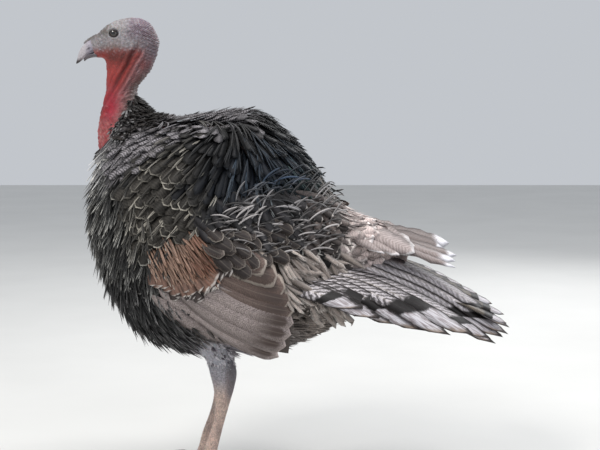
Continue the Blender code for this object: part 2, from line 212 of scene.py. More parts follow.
def surface_frame(surface, place, angle):
    """Point, unit normal and both derivatives of a surface."""
    step = 0.01
    here = surface(place, angle)
    along = (surface(place + step, angle) - surface(place - step, angle)) / (2 * step)
    around = (surface(place, angle + step) - surface(place, angle - step)) / (2 * step)
    return here, unit(np.cross(along, around)), along, around


def round_rings(centre, width, across, up, around, squash=1.0):
    """Rings round a centre line, of the half widths given, in the plane of two directions."""
    angle = np.linspace(0, TAU, around, endpoint=False)
    rings = centre[:, None] + across * (np.cos(angle) * width[:, None] * squash)[..., None]
    return rings + up * (np.sin(angle) * width[:, None])[..., None]


def ring_grid(places, around):
    """Each place down the rows paired with each angle round them."""
    angle = np.linspace(0, TAU, around, endpoint=False)
    return np.meshgrid(places, angle, indexing="ij")


# ---- meshes ----
def new_mesh(name, points, faces):
    """A mesh from an array of points and an array of faces of equal size."""
    mesh = bpy.data.meshes.new(name)
    mesh.vertices.add(len(points))
    mesh.vertices.foreach_set("co", np.asarray(points, np.float32).ravel())
    mesh.loops.add(faces.size)
    mesh.loops.foreach_set("vertex_index", faces.astype(np.int32).ravel())
    mesh.polygons.add(len(faces))
    mesh.polygons.foreach_set("loop_start", np.arange(0, faces.size, faces.shape[1], dtype=np.int32))
    mesh.update(calc_edges=True)
    return mesh


def face_outwards(mesh):
    shape = bmesh.new()
    shape.from_mesh(mesh)
    bmesh.ops.recalc_face_normals(shape, faces=shape.faces)
    shape.to_mesh(mesh)
    shape.free()
    return mesh


def tube_mesh(name, rings):
    """A closed mesh through an array of rings, with a fan of triangles over each end."""
    count, around = rings.shape[:2]
    points = np.concatenate((rings.reshape(-1, 3), rings[0].mean(0)[None], rings[-1].mean(0)[None]))
    i = np.arange(count - 1)[:, None] * around
    j = np.arange(around)[None]
    k = (j + 1) % around
    one = xyz(i + j, i + k, i + around + k).reshape(-1, 3)
    two = xyz(i + j, i + around + k, i + around + j).reshape(-1, 3)
    j, k = j[0], k[0]
    low, high, end = count * around, count * around + 1, (count - 1) * around
    start = xyz(np.full(around, low), k, j)
    finish = xyz(np.full(around, high), end + j, end + k)
    return face_outwards(new_mesh(name, points, np.concatenate((one, two, start, finish))))


def primitive(add, **settings):
    """The mesh that a ready-made shape leaves, with its object's place applied."""
    bpy.ops.object.select_all(action="DESELECT")
    add(**settings)
    bpy.ops.object.transform_apply(location=True, rotation=True, scale=True)
    item = bpy.context.object
    mesh = item.data.copy()
    bpy.data.objects.remove(item)
    return mesh


def link(name, data, place=(0, 0, 0)):
    """A new object in the scene."""
    item = bpy.data.objects.new(name, data)
    item.location = place
    bpy.context.scene.collection.objects.link(item)
    return item


def join_solid(target, other):
    """One solid joined to another, which is removed."""
    tool = target.modifiers.new("union", "BOOLEAN")
    tool.operation = "UNION"
    tool.object = other
    tool.solver = "EXACT"
    bpy.context.view_layer.objects.active = target
    bpy.ops.object.modifier_apply(modifier=tool.name)
    bpy.data.objects.remove(other)


def set_values(mesh, name, values):
    """A named value, or colour, at each point of a mesh."""
    values = np.asarray(values, np.float32)
    if values.ndim == 1:
        mesh.attributes.new(name, "FLOAT", "POINT").data.foreach_set("value", values)
        return
    colours = np.ones((len(values), 4), np.float32)
    colours[:, :3] = values
    mesh.attributes.new(name, "FLOAT_COLOR", "POINT").data.foreach_set("color", colours.ravel())


def mesh_points(mesh):
    points = np.empty(len(mesh.vertices) * 3, np.float32)
    mesh.vertices.foreach_get("co", points)
    return points.reshape(-1, 3).astype(float)


def new_piece(name, mesh, finish, replaced=(), smooth=True):
    """An object at the origin that rides on the bird."""
    piece = link(name, mesh)
    mesh.materials.clear()
    mesh.materials.append(finish)
    if smooth:
        mesh.shade_smooth()
    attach(piece, "root")
    if replaced:
        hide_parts(*replaced)
    return piece


# ---- materials ----
def put(tree, kind, values=(), **settings):
    """A node of the given kind, its inputs set to values or joined to other nodes' outputs."""
    node = tree.nodes.new(kind)
    for key, value in settings.items():
        setattr(node, key, value)
    for key, value in dict(values).items():
        if isinstance(value, bpy.types.NodeSocket):
            tree.links.new(value, node.inputs[key])
        else:
            node.inputs[key].default_value = value
    return node


def sums(tree, operation, one, other=0.0, third=0.0):
    return put(tree, "ShaderNodeMath", {0: one, 1: other, 2: third}, operation=operation).outputs[0]


def times(tree, one, other):
    return sums(tree, "MULTIPLY", one, other)


def plus(tree, one, other):
    return sums(tree, "ADD", one, other)


def minus(tree, one, other):
    return sums(tree, "SUBTRACT", one, other)


def fade(tree, value, low, high, to_low=0.0, to_high=1.0):
    return put(tree, "ShaderNodeMapRange", {0: value, 1: low, 2: high, 3: to_low, 4: to_high},
               interpolation_type="SMOOTHSTEP").outputs[0]


def colour_mix(tree, share, one, other):
    one, other = (part if isinstance(part, bpy.types.NodeSocket) else (*part, 1.0)
                  for part in (one, other))
    return put(tree, "ShaderNodeMix", {0: share, 6: one, 7: other}, data_type="RGBA").outputs[2]


def scaled(tree, colour, light):
    return put(tree, "ShaderNodeVectorMath", {0: colour, 3: light}, operation="SCALE").outputs[0]


def attribute(tree, name, output="Fac"):
    return put(tree, "ShaderNodeAttribute", attribute_name=name).outputs[output]


def noise(tree, place, scale, detail=2.0, rough=0.5):
    return put(tree, "ShaderNodeTexNoise", {"Vector": place, "Scale": scale, "Detail": detail,
                                            "Roughness": rough}).outputs["Fac"]


def object_place(tree):
    return put(tree, "ShaderNodeTexCoord").outputs["Object"]


def node_group(name, inputs, outputs):
    """An empty node group with named inputs and outputs, and its two end nodes."""
    group = bpy.data.node_groups.new(name, "ShaderNodeTree")
    for title, kind in inputs:
        group.interface.new_socket(title, in_out="INPUT", socket_type=kind)
    for title, kind in outputs:
        group.interface.new_socket(title, in_out="OUTPUT", socket_type=kind)
    return group, group.nodes.new("NodeGroupInput"), group.nodes.new("NodeGroupOutput")


def new_material(name, **settings):
    """A material with its Principled shader, whose constant inputs are set by name."""
    made = bpy.data.materials.new(name)
    made.use_nodes = True
    shader = made.node_tree.nodes["Principled BSDF"]
    for key, value in settings.items():
        shader.inputs[key.replace("_", " ")].default_value = value
    return made, made.node_tree, shader


def wire(tree, shader, colour, rough=None, height=None, distance=0.0006, strength=0.8):
    """Join a colour, a roughness and a relief to a material's shader."""
    tree.links.new(colour, shader.inputs["Base Color"])
    if rough is not None:
        tree.links.new(rough, shader.inputs["Roughness"])
    if height is not None:
        relief = put(tree, "ShaderNodeBump", {"Height": height, "Distance": distance,
                                              "Strength": strength})
        tree.links.new(relief.outputs[0], shader.inputs["Normal"])


VANE_DIALS = ("Bar Pitch", "Bar Lean", "Bar Softness", "Fringe Width", "Barb Contrast",
              "Speckle", "Shaft", "Tip Shade")


def feather_group():
    """Colour and relief of one vane from the values it carries: barbs, bars, fringe and tip."""
    group, start, end = node_group(
        "vane pattern", [(title, "NodeSocketFloat") for title in VANE_DIALS],
        (("Color", "NodeSocketColor"), ("Height", "NodeSocketFloat"),
         ("Roughness", "NodeSocketFloat")))
    get = start.outputs
    run, across, edge, left, pick = (attribute(group, title)
                                     for title in ("run", "across", "edge", "left", "pick"))
    barred = attribute(group, "barred", "Color")
    place = object_place(group)
    barb = minus(group, run, times(group, across, 1.3))
    strand = put(group, "ShaderNodeCombineXYZ", {0: times(group, barb, 700.0),
                                                 1: times(group, pick, 41.0),
                                                 2: times(group, across, 90.0)})
    streak = noise(group, strand.outputs[0], 1.0, 2.0, 0.6)
    uneven = minus(group, streak, 0.5)
    phase = sums(group, "DIVIDE", minus(group, run, times(group, across, get["Bar Lean"])),
                 get["Bar Pitch"])
    phase = plus(group, phase, times(group, noise(group, place, 160.0, 3.0, 0.6), 1.5))
    wave = sums(group, "SINE", times(group, plus(group, phase, pick), TAU))
    wave = fade(group, wave, times(group, get["Bar Softness"], -1.0), get["Bar Softness"])
    bars = times(group, wave, attribute(group, "bars"))
    dots = noise(group, place, 900.0, 1.0)
    speck = times(group, fade(group, dots, 0.48, 0.62), get["Speckle"])
    light = plus(group, 1.0, times(group, uneven, get["Barb Contrast"]))
    deep = times(group, fade(group, left, 0.080, 0.025), get["Tip Shade"])
    deep = times(group, deep, fade(group, edge, 0.0030, 0.0085))
    colour = scaled(group, attribute(group, "ground", "Color"), light)
    for share in (speck, bars, deep):
        colour = colour_mix(group, share, colour, barred)
    worn = plus(group, edge, times(group, uneven, get["Fringe Width"]))
    rim = fade(group, sums(group, "DIVIDE", worn, get["Fringe Width"]), 1.25, 0.6)
    rim = times(group, rim, attribute(group, "rimmed"))
    colour = colour_mix(group, rim, colour, attribute(group, "fringe", "Color"))
    shaft = times(group, fade(group, across, 0.0011, 0.0004), get["Shaft"])
    colour = colour_mix(group, shaft, colour, tint(196, 184, 168))
    height = plus(group, streak, times(group, shaft, 0.8))
    rough = fade(group, streak, 0.2, 0.8, 0.5, 0.72)
    for title, value in (("Color", colour), ("Height", height), ("Roughness", rough)):
        group.links.new(value, end.inputs[title])
    return group


VANE_PATTERN = feather_group()


def vane_pattern(tree, pitch=0.003, lean=0.5, softness=0.5, fringe=0.0018, barbs=0.9, speckle=0.0,
                 shaft=0.0, tip_shade=0.0):
    """The vane pattern's colour, roughness and height, for the sizes given."""
    node = put(tree, "ShaderNodeGroup", node_tree=VANE_PATTERN)
    sizes = (pitch, lean, softness, fringe, barbs, speckle, shaft, tip_shade)
    for title, value in zip(VANE_DIALS, sizes):
        node.inputs[title].default_value = value
    return [node.outputs[title] for title in ("Color", "Roughness", "Height")]


def feather_material(name, specular=0.3, sheen=0.0, **sizes):
    made, tree, shader = new_material(name, Specular_IOR_Level=specular, Sheen_Weight=sheen)
    wire(tree, shader, *vane_pattern(tree, **sizes))
    return made


# ---- feathers ----
def spaced(points, spacing):
    """Which of many points to keep so that no two are nearer than the spacing."""
    taken = np.empty(points.shape)
    chosen = []
    for i, point in enumerate(points):
        count = len(chosen)
        away = taken[:count] - point
        if count and np.min(np.einsum("ij,ij->i", away, away)) < spacing ** 2:
            continue
        taken[count] = point
        chosen.append(i)
    return np.array(chosen)


def scatter(surface, places, spacing, keep, seed, tries=9000):
    """Roots on a surface, no two nearer than the spacing."""
    source = np.random.default_rng(seed)
    place = source.uniform(*places, tries * 4)
    angle = source.uniform(0.0, TAU, tries * 4)
    here, _, along, around = surface_frame(surface, place, angle)
    area = np.linalg.norm(np.cross(along, around), axis=-1)
    chosen = source.uniform(0, np.quantile(area, 0.98), len(area)) < area
    chosen &= keep(here, np.cos(angle))
    place, angle, here = (part[chosen][:tries] for part in (place, angle, here))
    kept = spaced(here, spacing)
    return place[kept], angle[kept]


def grow(surface, place, angle, length, turn, low, high, steps, rise=1.0, drop=0.0):
    """Centre lines over a surface, and its normals along them.

    They start at the height `low` over it and end at `high`. They veer by `turn` from the way of
    its rows, and `drop` pulls them down, or in the direction given for each.
    """
    place, angle = place.copy(), angle.copy()
    points, normals = [], []
    if np.ndim(drop) < 2:
        drop = np.broadcast_to(drop, place.shape)[..., None] * (0.0, 0.0, -1.0)
    for share in np.linspace(0, 1, steps):
        here, normal, along, around = surface_frame(surface, place, angle)
        height = low + (high - low) * share ** rise
        points.append(here + normal * np.broadcast_to(height, place.shape)[..., None])
        normals.append(normal)
        ahead = unit(along)
        way = ahead * np.cos(turn)[..., None] + np.cross(normal, ahead) * np.sin(turn)[..., None]
        way = way + drop
        way = unit(way - normal * dot(way, normal)[..., None])
        aa, ab, bb = dot(along, along), dot(along, around), dot(around, around)
        wa, wb = dot(way, along), dot(way, around)
        room = np.maximum(aa * bb - ab * ab, 1e-10)
        stride = length / (steps - 1)
        place += (bb * wa - ab * wb) / room * stride
        angle += (aa * wb - ab * wa) / room * stride
    return np.stack(points, axis=1), np.stack(normals, axis=1)


def outline(width, steps, full=0.62, blunt=2.5, stalk=0.45):
    """Each vane's half width along its length, which is `width` at its widest.

    It opens over the share `stalk`, closes beyond the share `full`, and ends blunter as `blunt`
    grows.
    """
    shares = np.linspace(0, 1, steps)
    open_up = np.clip(shares / stalk, 0, 1) ** 0.6
    close = np.clip((shares - full) / (1 - full), 0, 1)
    shape = np.maximum(open_up * np.sqrt(np.maximum(1 - close ** blunt, 0.0)), 0.04)
    return shape * np.reshape(width, (-1, 1))


def vane_points(points, normals, half, thick, camber, ragged, twist, skew, source):
    """The four corners of each ring of each vane, and its values."""
    count, steps = points.shape[:2]
    share = np.linspace(0, 1, steps)[None]
    ahead = unit(np.gradient(points, axis=1))
    normals = unit(normals - ahead * dot(normals, ahead)[..., None])
    aside = np.cross(ahead, normals)
    turn = (source.normal(0, 1, count) * twist)[:, None, None]
    aside, normals = (aside * np.cos(turn) + normals * np.sin(turn),
                      normals * np.cos(turn) - aside * np.sin(turn))
    wear = share ** 1.5 * np.asarray(ragged)
    left = half * (1 - wear * source.uniform(0, 1, (count, steps)) ** 2)
    right = half * (1 - wear * source.uniform(0, 1, (count, steps)) ** 2)
    bend = np.broadcast_to(camber, (count, 1))
    slant = np.reshape(skew, (-1, 1)) * share ** 2

    def margin(wide, way):
        return points + way * aside * wide[..., None] - normals * (bend * wide)[..., None] \
            - way * ahead * (slant * wide)[..., None]

    ridge = normals * (thick / 2)[..., None]
    corners = np.stack((margin(left, -1), points + ridge, margin(right, 1), points - ridge), axis=2)
    run = distances(points)
    left_over = run[:, -1:] - run
    inner = np.minimum(half, left_over + 0.0005)
    zero = np.zeros_like(half)
    edge = np.stack((zero, inner, zero, inner), axis=2)
    across = np.stack((left, zero, right, zero), axis=2)
    return corners, run, left_over, edge, across


def vane_piece(name, finish, slot, points, normals, half, values, spots, replaced=(),
               thick=0.0005, camber=0.25, ragged=0.35, twist=0.12, seed=1, patch=0.003,
               sheet="OFBake", smooth=True, skew=0.0):
    """One mesh of many closed vanes, with a small patch of UV for each.

    `values` says how they are marked: the colours ground, barred and fringe, the strength of bars
    and rimmed, how wide the rim is, how far it is drawn to the tip (tips), and a scale on the
    distance from the tip (ends).
    """
    source = np.random.default_rng(seed)
    count, steps = points.shape[:2]
    shape = (count, steps, 4)
    share = np.linspace(0, 1, steps)[None, :, None]
    taper = np.linspace(1.0, 0.4, steps)[None] * np.broadcast_to(thick, (count, steps))
    corners, run, left_over, edge, across = vane_points(
        points, normals, half, taper, camber, ragged, twist, skew, source)
    base = (np.arange(count) * steps * 4)[:, None, None]
    ring = base + (np.arange(steps - 1) * 4)[None, :, None]
    j = np.arange(4)
    k = (j + 1) % 4
    sides = np.stack((ring + j, ring + k, ring + 4 + k, ring + 4 + j), axis=-1).reshape(-1, 4)
    root, tip = base[:, 0] + j[::-1], base[:, 0] + (steps - 1) * 4 + j
    mesh = new_mesh(name, corners.reshape(-1, 3), np.concatenate((sides, root, tip)))

    def given(title, usual):
        return np.broadcast_to(values.get(title, usual), (count,))[:, None, None]

    left_over = left_over[:, :, None]
    tips = given("tips", 0.0)
    edge = (edge * (1 - tips) + left_over * tips) / given("wide", 1.0)
    for title, value in (("run", run[:, :, None]), ("left", left_over * given("ends", 1.0)),
                         ("edge", edge), ("across", across),
                         ("pick", given("pick", source.uniform(0, 1, count))),
                         ("bars", given("bars", 0.0)), ("rimmed", given("rimmed", 0.0))):
        set_values(mesh, title, np.broadcast_to(value, shape).ravel())
    for title in ("ground", "barred", "fringe"):
        colour = np.broadcast_to(values.get(title, tint(30, 26, 24)), (count, 3))
        set_values(mesh, title, np.repeat(colour, steps * 4, axis=0))
    level = np.array((0.0, 0.45, 1.0, 0.55))
    flat = np.stack((np.broadcast_to(level, shape), np.broadcast_to(share, shape)), axis=-1)
    flat = flat * np.asarray(patch) + spots[:, None, None]
    loops = np.empty(len(mesh.loops), np.int32)
    mesh.loops.foreach_get("vertex_index", loops)
    layer = mesh.uv_layers.new(name=sheet)
    layer.data.foreach_set("uv", flat.reshape(-1, 2)[loops].astype(np.float32).ravel())
    return new_piece(name, mesh, finish, replaced, smooth)


def quill_piece(name, finish, slot, points, normals, half, values, replaced=(), **settings):
    """A piece of large feathers, whose UV patches stand side by side in a sheet of their own."""
    count = len(points)
    i = np.arange(count)
    return vane_piece(name, finish, slot, points, normals, half, values,
                      np.stack((i / count, 0 * i), axis=-1) + 0.004, replaced,
                      patch=(0.92 / count, 0.96), sheet="UVMap", **settings)


# ---- skin ----
def coat_depth(place, angle):
    """How far the skin lies under the outline, which the feathers fill out to."""
    back = 0.5 + 0.5 * np.cos(angle)
    start = 11.4 - 2.0 * back
    return 0.013 * ramp(place, start, start + 2.2) - 0.007 * ramp(place, 22.5, 25.0)


def bumps(points, count, places, angles, radii, height, seed):
    """Rounded warts of mixed size on part of the body, as a rise at each point."""
    source = np.random.default_rng(seed)
    centres = body_point(source.uniform(*places, count), source.normal(*angles, count))
    rise = np.zeros(len(points))
    for centre in centres:
        radius = source.uniform(*radii)
        away = np.einsum("ij,ij->i", points - centre, points - centre) / radius ** 2
        near = away < 1
        rise[near] = np.maximum(rise[near], radius * height * np.sqrt(1 - away[near]))
    return rise


def fold_line(points):
    """Distance behind the long fold that runs from the ear down the throat."""
    wander = 0.0016 * ripple(points, 0.03, 5)
    return (points[..., 0] + 0.257) * 0.863 - (points[..., 2] - 0.722) * 0.504 + wander


def eye_distance(x, z):
    return np.hypot((x - EYE_CENTRE[0]) / 1.2, z - EYE_CENTRE[2])


def skin_relief(points, place, angle):
    """Rise or fall of the skin: sockets, brow, ear, cheek, throat folds and nape wrinkles."""
    x, z = points[:, 0], points[:, 2]
    side, back = np.abs(np.sin(angle)), np.cos(angle)
    head = 1 - ramp(place, 12.0, 13.0)
    from_eye = eye_distance(x, z)
    from_ear = np.hypot(x + 0.2725, z - 0.7425)
    rise = -0.0013 * bump(from_eye, 0.0, 0.011) + 0.0010 * bump(from_eye, 0.0088, 0.0013)
    rise -= 0.0035 * ramp(from_eye, 0.0074, 0.0056)
    rise += 0.0013 * bump(z, EYE_CENTRE[2] + 0.0115, 0.0035) * bump(x, -0.297, 0.014)
    rise += 0.0008 * bump(from_ear, 0.0042, 0.0016) - 0.0024 * bump(from_ear, 0.0, 0.0024)
    rise += 0.0012 * bump(np.hypot(x + 0.292, z - 0.717), 0.0, 0.014)
    rise *= side
    behind = fold_line(points)
    throat = ramp(z, 0.727, 0.705) * ramp(z, 0.575, 0.605) * side ** 1.2
    for height, line, width in THROAT_FOLDS:
        rise += height * bump(behind, line, width) * throat
    wrinkle = np.sin(place * TAU / 0.155 + 2.6 * ripple(points, 0.022, 8))
    nape = ramp(place, 4.4, 5.6) * ramp(back, -0.35, 0.45)
    uneven = 0.00035 * ripple(points, 0.0075, 9)
    uneven += 0.0008 * ripple(points, 0.021, 10) * ramp(place, 6.0, 8.0)
    return rise + (0.00070 * wrinkle * nape + uneven) * head


def skin_warts(points, place):
    """Large caruncles low on the front of the neck, and small pebbles over head and neck."""
    rise = np.zeros(len(points))
    low = (place > 9.2) & (place < 13.0)
    rise[low] = bumps(points[low], 190, (10.2, 12.5), (math.pi, 0.75), (0.0028, 0.0058), 0.55, 21)
    high = place < 10.8
    pebbles = bumps(points[high], 620, (0.3, 10.5), (0.0, 1.3), (0.0010, 0.0021), 0.28, 22)
    from_eye = eye_distance(points[high, 0], points[high, 2])
    rise[high] = np.maximum(rise[high], pebbles * ramp(from_eye, 0.0095, 0.0120))
    return rise


def leg_shift(side):
    return FAR_LEG_SHIFT if side > 0 else 0.0


def ankle_place(side):
    """The point on the floor from which a foot's toes spread."""
    return np.array((LEG[-1][0] + leg_shift(side), side * LEG_SPREAD, 0.0))


def leg_point(place, angle, side):
    row = smooth_rows(LEG, place)
    return xyz(row[..., 0] + leg_shift(side) + row[..., 2] * np.cos(angle),
               side * (LEG_SPREAD + row[..., 3] * np.sin(angle)), row[..., 1])


def toe_axes(bearing, side):
    """A toe's own way forward, and the level way across it."""
    turn = math.radians(-bearing * side)
    heading = np.array((-math.cos(turn), -math.sin(turn), 0.0))
    return heading, np.array((heading[1], -heading[0], 0.0))


def toe_rings(bearing, side, length, radius):
    """Rings along a toe: swollen under each joint and pinched between them."""
    heading, across = toe_axes(bearing, side)
    share = np.linspace(0, 1.02, 26)
    width = np.interp(share, (0, 0.18, 0.4, 0.62, 0.82, 1.0, 1.02),
                      radius * np.array((1.0, 0.94, 1.02, 0.88, 0.92, 0.62, 0.35)))
    width *= 1 + 0.045 * np.cos(share * TAU * 4)
    centre = heading * (share * length)[:, None]
    centre[:, 2] = TOE_SINK * radius + 0.004 * (1 - share).clip(0) ** 3
    return round_rings(centre, width, across, UP, TOE_AROUND) + ankle_place(side)


def leg_plates(points, side):
    """The legs' points with the plates on the shank's front and the toes' tops raised."""
    flat, z = points[:, :2].copy(), points[:, 2].copy()
    centre_x = np.interp(-z, -LEG[:, 1], LEG[:, 0]) + leg_shift(side)
    out = flat - np.stack((centre_x, 0 * centre_x + side * LEG_SPREAD), axis=-1)
    away = np.linalg.norm(out, axis=1)[:, None] + 1e-6
    plate = np.abs(np.sin(z * math.pi / 0.0056)) ** 0.5 - 0.7
    front = ramp(-out[:, 0] / away[:, 0], 0.0, 0.6) * ramp(z, 0.022, 0.03) * ramp(z, 0.205, 0.185)
    flat += out / away * (0.0010 * plate * front)[:, None]
    reach = np.linalg.norm(flat - ankle_place(side)[:2], axis=1)
    plate = np.abs(np.sin(reach * math.pi / 0.0048)) ** 0.5 - 0.7
    z += 0.0008 * plate * ramp(reach, 0.017, 0.022) * ramp(z, 0.006, 0.010)
    return flat, np.maximum(z, 0.0004)


def make_leg(side):
    """One leg from thigh to toes as one smooth solid."""
    leg = link("leg", tube_mesh("leg", leg_point(
        *ring_grid(np.linspace(0, len(LEG) - 1, 84), 40), side)))
    for _, bearing, length, radius in TOES:
        join_solid(leg, link("toe", tube_mesh("toe", toe_rings(bearing, side, length, radius))))
    blend_in = leg.modifiers.new("blend", "REMESH")
    blend_in.mode = "VOXEL"
    blend_in.voxel_size = LEG_CELL
    ease = leg.modifiers.new("ease", "SMOOTH")
    ease.factor = 0.5
    ease.iterations = 4
    bpy.context.view_layer.objects.active = leg
    for title in ("blend", "ease"):
        bpy.ops.object.modifier_apply(modifier=title)
    points = mesh_points(leg.data)
    points[:, :2], points[:, 2] = leg_plates(points, side)
    leg.data.vertices.foreach_set("co", points.astype(np.float32).ravel())
    return leg


def flesh_colour(points):
    """The colours of the bare skin, by where they lie on head, neck and legs."""
    x, _, z = points.T
    behind = fold_line(points)
    blotch, cloud, fine, fleck = (0.5 + 0.5 * ripple(points, pitch, seed) for pitch, seed in
                                  ((0.012, 31), (0.028, 32), (0.0045, 33), (0.0032, 34)))
    crown = ramp(x, -0.283, -0.258) * ramp(z, 0.722, 0.745)
    nape = ramp(x, -0.262, -0.240) * ramp(z, 0.765, 0.735)
    cheek = bump(np.hypot((x + 0.298) / 1.5, z - 0.714), 0, 0.012)
    lore = bump(np.hypot((x + 0.3130) / 1.7, z - 0.7430), 0, 0.0075)
    brow = 0.84 * (z - 0.7335) - 0.55 * (x + 0.345)
    brow = bump(brow, 0.0, 0.009) * ramp(x, -0.296, -0.312) * ramp(x, -0.352, -0.338)
    # Stripes across the nape, used below for the painted shade and highlight of its wrinkles.
    wrinkle = 0.5 + 0.5 * np.sin(TAU * (z + 0.35 * (x + 0.25)) / 0.0056 + 3.0 * cloud)
    red = ramp(z, 0.722, 0.706) * ramp(behind, 0.022, 0.006)
    # Painted shadow: dark maroon on the top of the throat, just under the jaw.
    shade = bump(z, 0.704, 0.013) * ramp(behind, 0.012, 0.0) * ramp(x, -0.316, -0.302)
    pink = ramp(z, 0.712, 0.690) * ramp(behind, 0.004, 0.016) * ramp(behind, 0.040, 0.026)
    low_nape = ramp(z, 0.695, 0.665) * ramp(behind, 0.018, 0.030)
    # Painted shade: dark red laid along the deep long fold and in the grooves of the other throat
    # folds, where shade falls.
    dark = bump(behind, 0.0, 0.0040) * ramp(z, 0.735, 0.712)
    groove_shade = [((98, 28, 28), strength * bump(behind, line, 0.0016) * ramp(z, 0.715, 0.700))
               for line, strength in ((0.0110, 0.6), (0.0195, 0.45), (-0.0105, 0.4))]
    crimson = bump(np.hypot((x + 0.301) / 1.2, (z - 0.620) / 2.4), 0, 0.014)
    head = ramp(z, 0.700, 0.722) * ramp(x, -0.338, -0.320)
    wart = ramp(z, 0.606, 0.584) * ramp(z, 0.52, 0.545)
    # Painted shade: the skin under the body's coat is darkened, so gaps between the feathers read as
    # shadow.
    under = ramp(np.hypot(x + 0.02, z - 0.40), 0.30, 0.25) * ramp(z, 0.20, 0.24)
    colour = layered(
        tint(150, 144, 147),
        # Painted highlight: a paler patch on the top of the head, where the light falls.
        ((178, 174, 174), 0.55 * bump(np.hypot(x + 0.300, z - 0.752), 0, 0.02)),
        ((122, 96, 116), crown * (0.45 + 0.5 * blotch)),
        ((116, 94, 98), nape * (0.6 + 0.35 * cloud)),
        ((88, 66, 74), nape * 0.5 * ramp(fine, 0.55, 0.8)),
        ((132, 108, 98), 0.8 * cheek),
        ((84, 76, 66), 0.75 * lore),
        ((74, 64, 54), 0.8 * brow),
        # Painted shade and painted highlight: dark stripes stand for shade in the nape's wrinkles, pale
        # ones for light on their ridges.
        ((78, 56, 66), nape * 0.55 * ramp(wrinkle, 0.5, 0.9)),
        ((158, 142, 158), nape * 0.40 * ramp(wrinkle, 0.4, 0.05)),
        ((160, 54, 48), red),
        ((92, 34, 26), 0.85 * shade),
        ((142, 80, 80), pink * (0.5 + 0.5 * blotch)),
        ((110, 86, 80), low_nape * (0.5 + 0.4 * cloud)),
        ((92, 24, 22), 0.85 * dark),
        *groove_shade,
        ((168, 18, 48), 0.95 * crimson),
        ((190, 186, 194), 0.40 * head * ramp(fine, 0.58, 0.82)),
        ((86, 72, 80), 0.40 * head * ramp(fleck, 0.60, 0.85)),
        ((168, 62, 66), 0.85 * wart),
        ((200, 148, 142), 0.7 * wart * ramp(fine * 0.6 + blotch * 0.5, 0.5, 0.85)),
        ((64, 54, 54), under))
    leg = layered(
        tint(176, 174, 182),
        ((244, 214, 198), ramp(z, 0.185, 0.140)),
        # Painted shade: the rear side of the hock and upper shank is darker, as the side turned from
        # the light.
        ((118, 116, 124), ramp(x, -0.118, -0.104) * ramp(z, 0.13, 0.16)),
        ((172, 148, 138), ramp(z, 0.03, 0.012)),
        ((150, 132, 130), 0.5 * cloud * ramp(z, 0.21, 0.16)))
    return blend(colour, leg, ramp(z, 0.27, 0.24))


def skin_material():
    made, tree, shader = new_material("bare skin", Subsurface_Weight=0.12, Subsurface_Scale=0.004)
    place = object_place(tree)
    cells = put(tree, "ShaderNodeTexVoronoi", {"Vector": place, "Scale": 620.0})
    pores = fade(tree, cells.outputs["Distance"], 0.05, 0.6)
    cloud = noise(tree, place, 260.0, 4.0, 0.65)
    light = plus(tree, fade(tree, cloud, 0.25, 0.75, 0.72, 1.18), times(tree, pores, -0.16))
    colour = scaled(tree, attribute(tree, "flesh", "Color"), light)
    scales = put(tree, "ShaderNodeTexVoronoi", {"Vector": place, "Scale": 300.0},
                 feature="DISTANCE_TO_EDGE")
    gap = times(tree, fade(tree, scales.outputs["Distance"], 0.10, 0.03), attribute(tree, "scaly"))
    height = minus(tree, minus(tree, times(tree, cloud, 0.6), pores), times(tree, gap, 1.6))
    wire(tree, shader, colour_mix(tree, times(tree, gap, 0.45), colour, tint(84, 70, 66)),
         fade(tree, cloud, 0.3, 0.8, 0.42, 0.66), height, strength=0.9)
    return made


def snood_rings():
    """The fleshy finger that hangs forward over the bill's ridge."""
    share = np.linspace(0, 1, 22)
    width = 0.0040 * np.sqrt(1 - share ** 3.2).clip(0.06) * (1 + 0.06 * np.cos(share * TAU * 5))
    centre = SNOOD_ROOT + SNOOD_WAY * (share * SNOOD_LENGTH)[:, None]
    across = np.array((0.0, 1.0, 0.0))
    return round_rings(centre, width, across, np.cross(across, SNOOD_WAY), 24)


def make_skin():
    """One unbroken skin over head, neck, body, legs and feet."""
    steps = np.concatenate((np.linspace(0, 9, 196), np.linspace(9, 12.6, 92)[1:],
                            np.linspace(12.6, 25, 40)[1:]))
    place, angle = ring_grid(steps, 168)
    points, normal, _, _ = surface_frame(body_point, place, angle)
    shape = points.shape
    flat, p, a = points.reshape(-1, 3), place.ravel(), angle.ravel()
    out = skin_relief(flat, p, a) + skin_warts(flat, p) - coat_depth(p, a)
    rings = flat + normal.reshape(-1, 3) * out[:, None]
    skin = link("skin", tube_mesh("skin", rings.reshape(shape)))
    for side in (-1, 1):
        join_solid(skin, make_leg(side))
    join_solid(skin, link("snood", tube_mesh("snood", snood_rings())))
    mesh = skin.data.copy()
    bpy.data.objects.remove(skin)
    mesh.name = "skin"
    points = mesh_points(mesh)
    set_values(mesh, "flesh", flesh_colour(points))
    set_values(mesh, "scaly", ramp(points[:, 2], 0.215, 0.195))
    covered = ["head", "neck_upper", "neck_lower", "breast", "trunk", "rump", "snood"]
    covered += [f"{part}_{side}" for part in ("thigh", "shank", "foot") for side, _ in SIDES]
    return new_piece("skin", mesh, skin_material(), covered)


# ---- eyes, bill and claws ----
def eye_material():
    made, tree, shader = new_material("eye", Roughness=0.08, Coat_Weight=1.0, Coat_Roughness=0.02,
                                      IOR=1.45)
    ring = attribute(tree, "from_axis")
    rays = noise(tree, object_place(tree), 900.0, 3.0, 0.7)
    iris = colour_mix(tree, rays, tint(26, 16, 12), tint(58, 36, 24))
    iris = colour_mix(tree, fade(tree, ring, 0.60, 0.70), iris, tint(18, 12, 11))
    wire(tree, shader, colour_mix(tree, fade(tree, ring, 0.44, 0.38), iris, (0.004, 0.004, 0.005)))
    return made


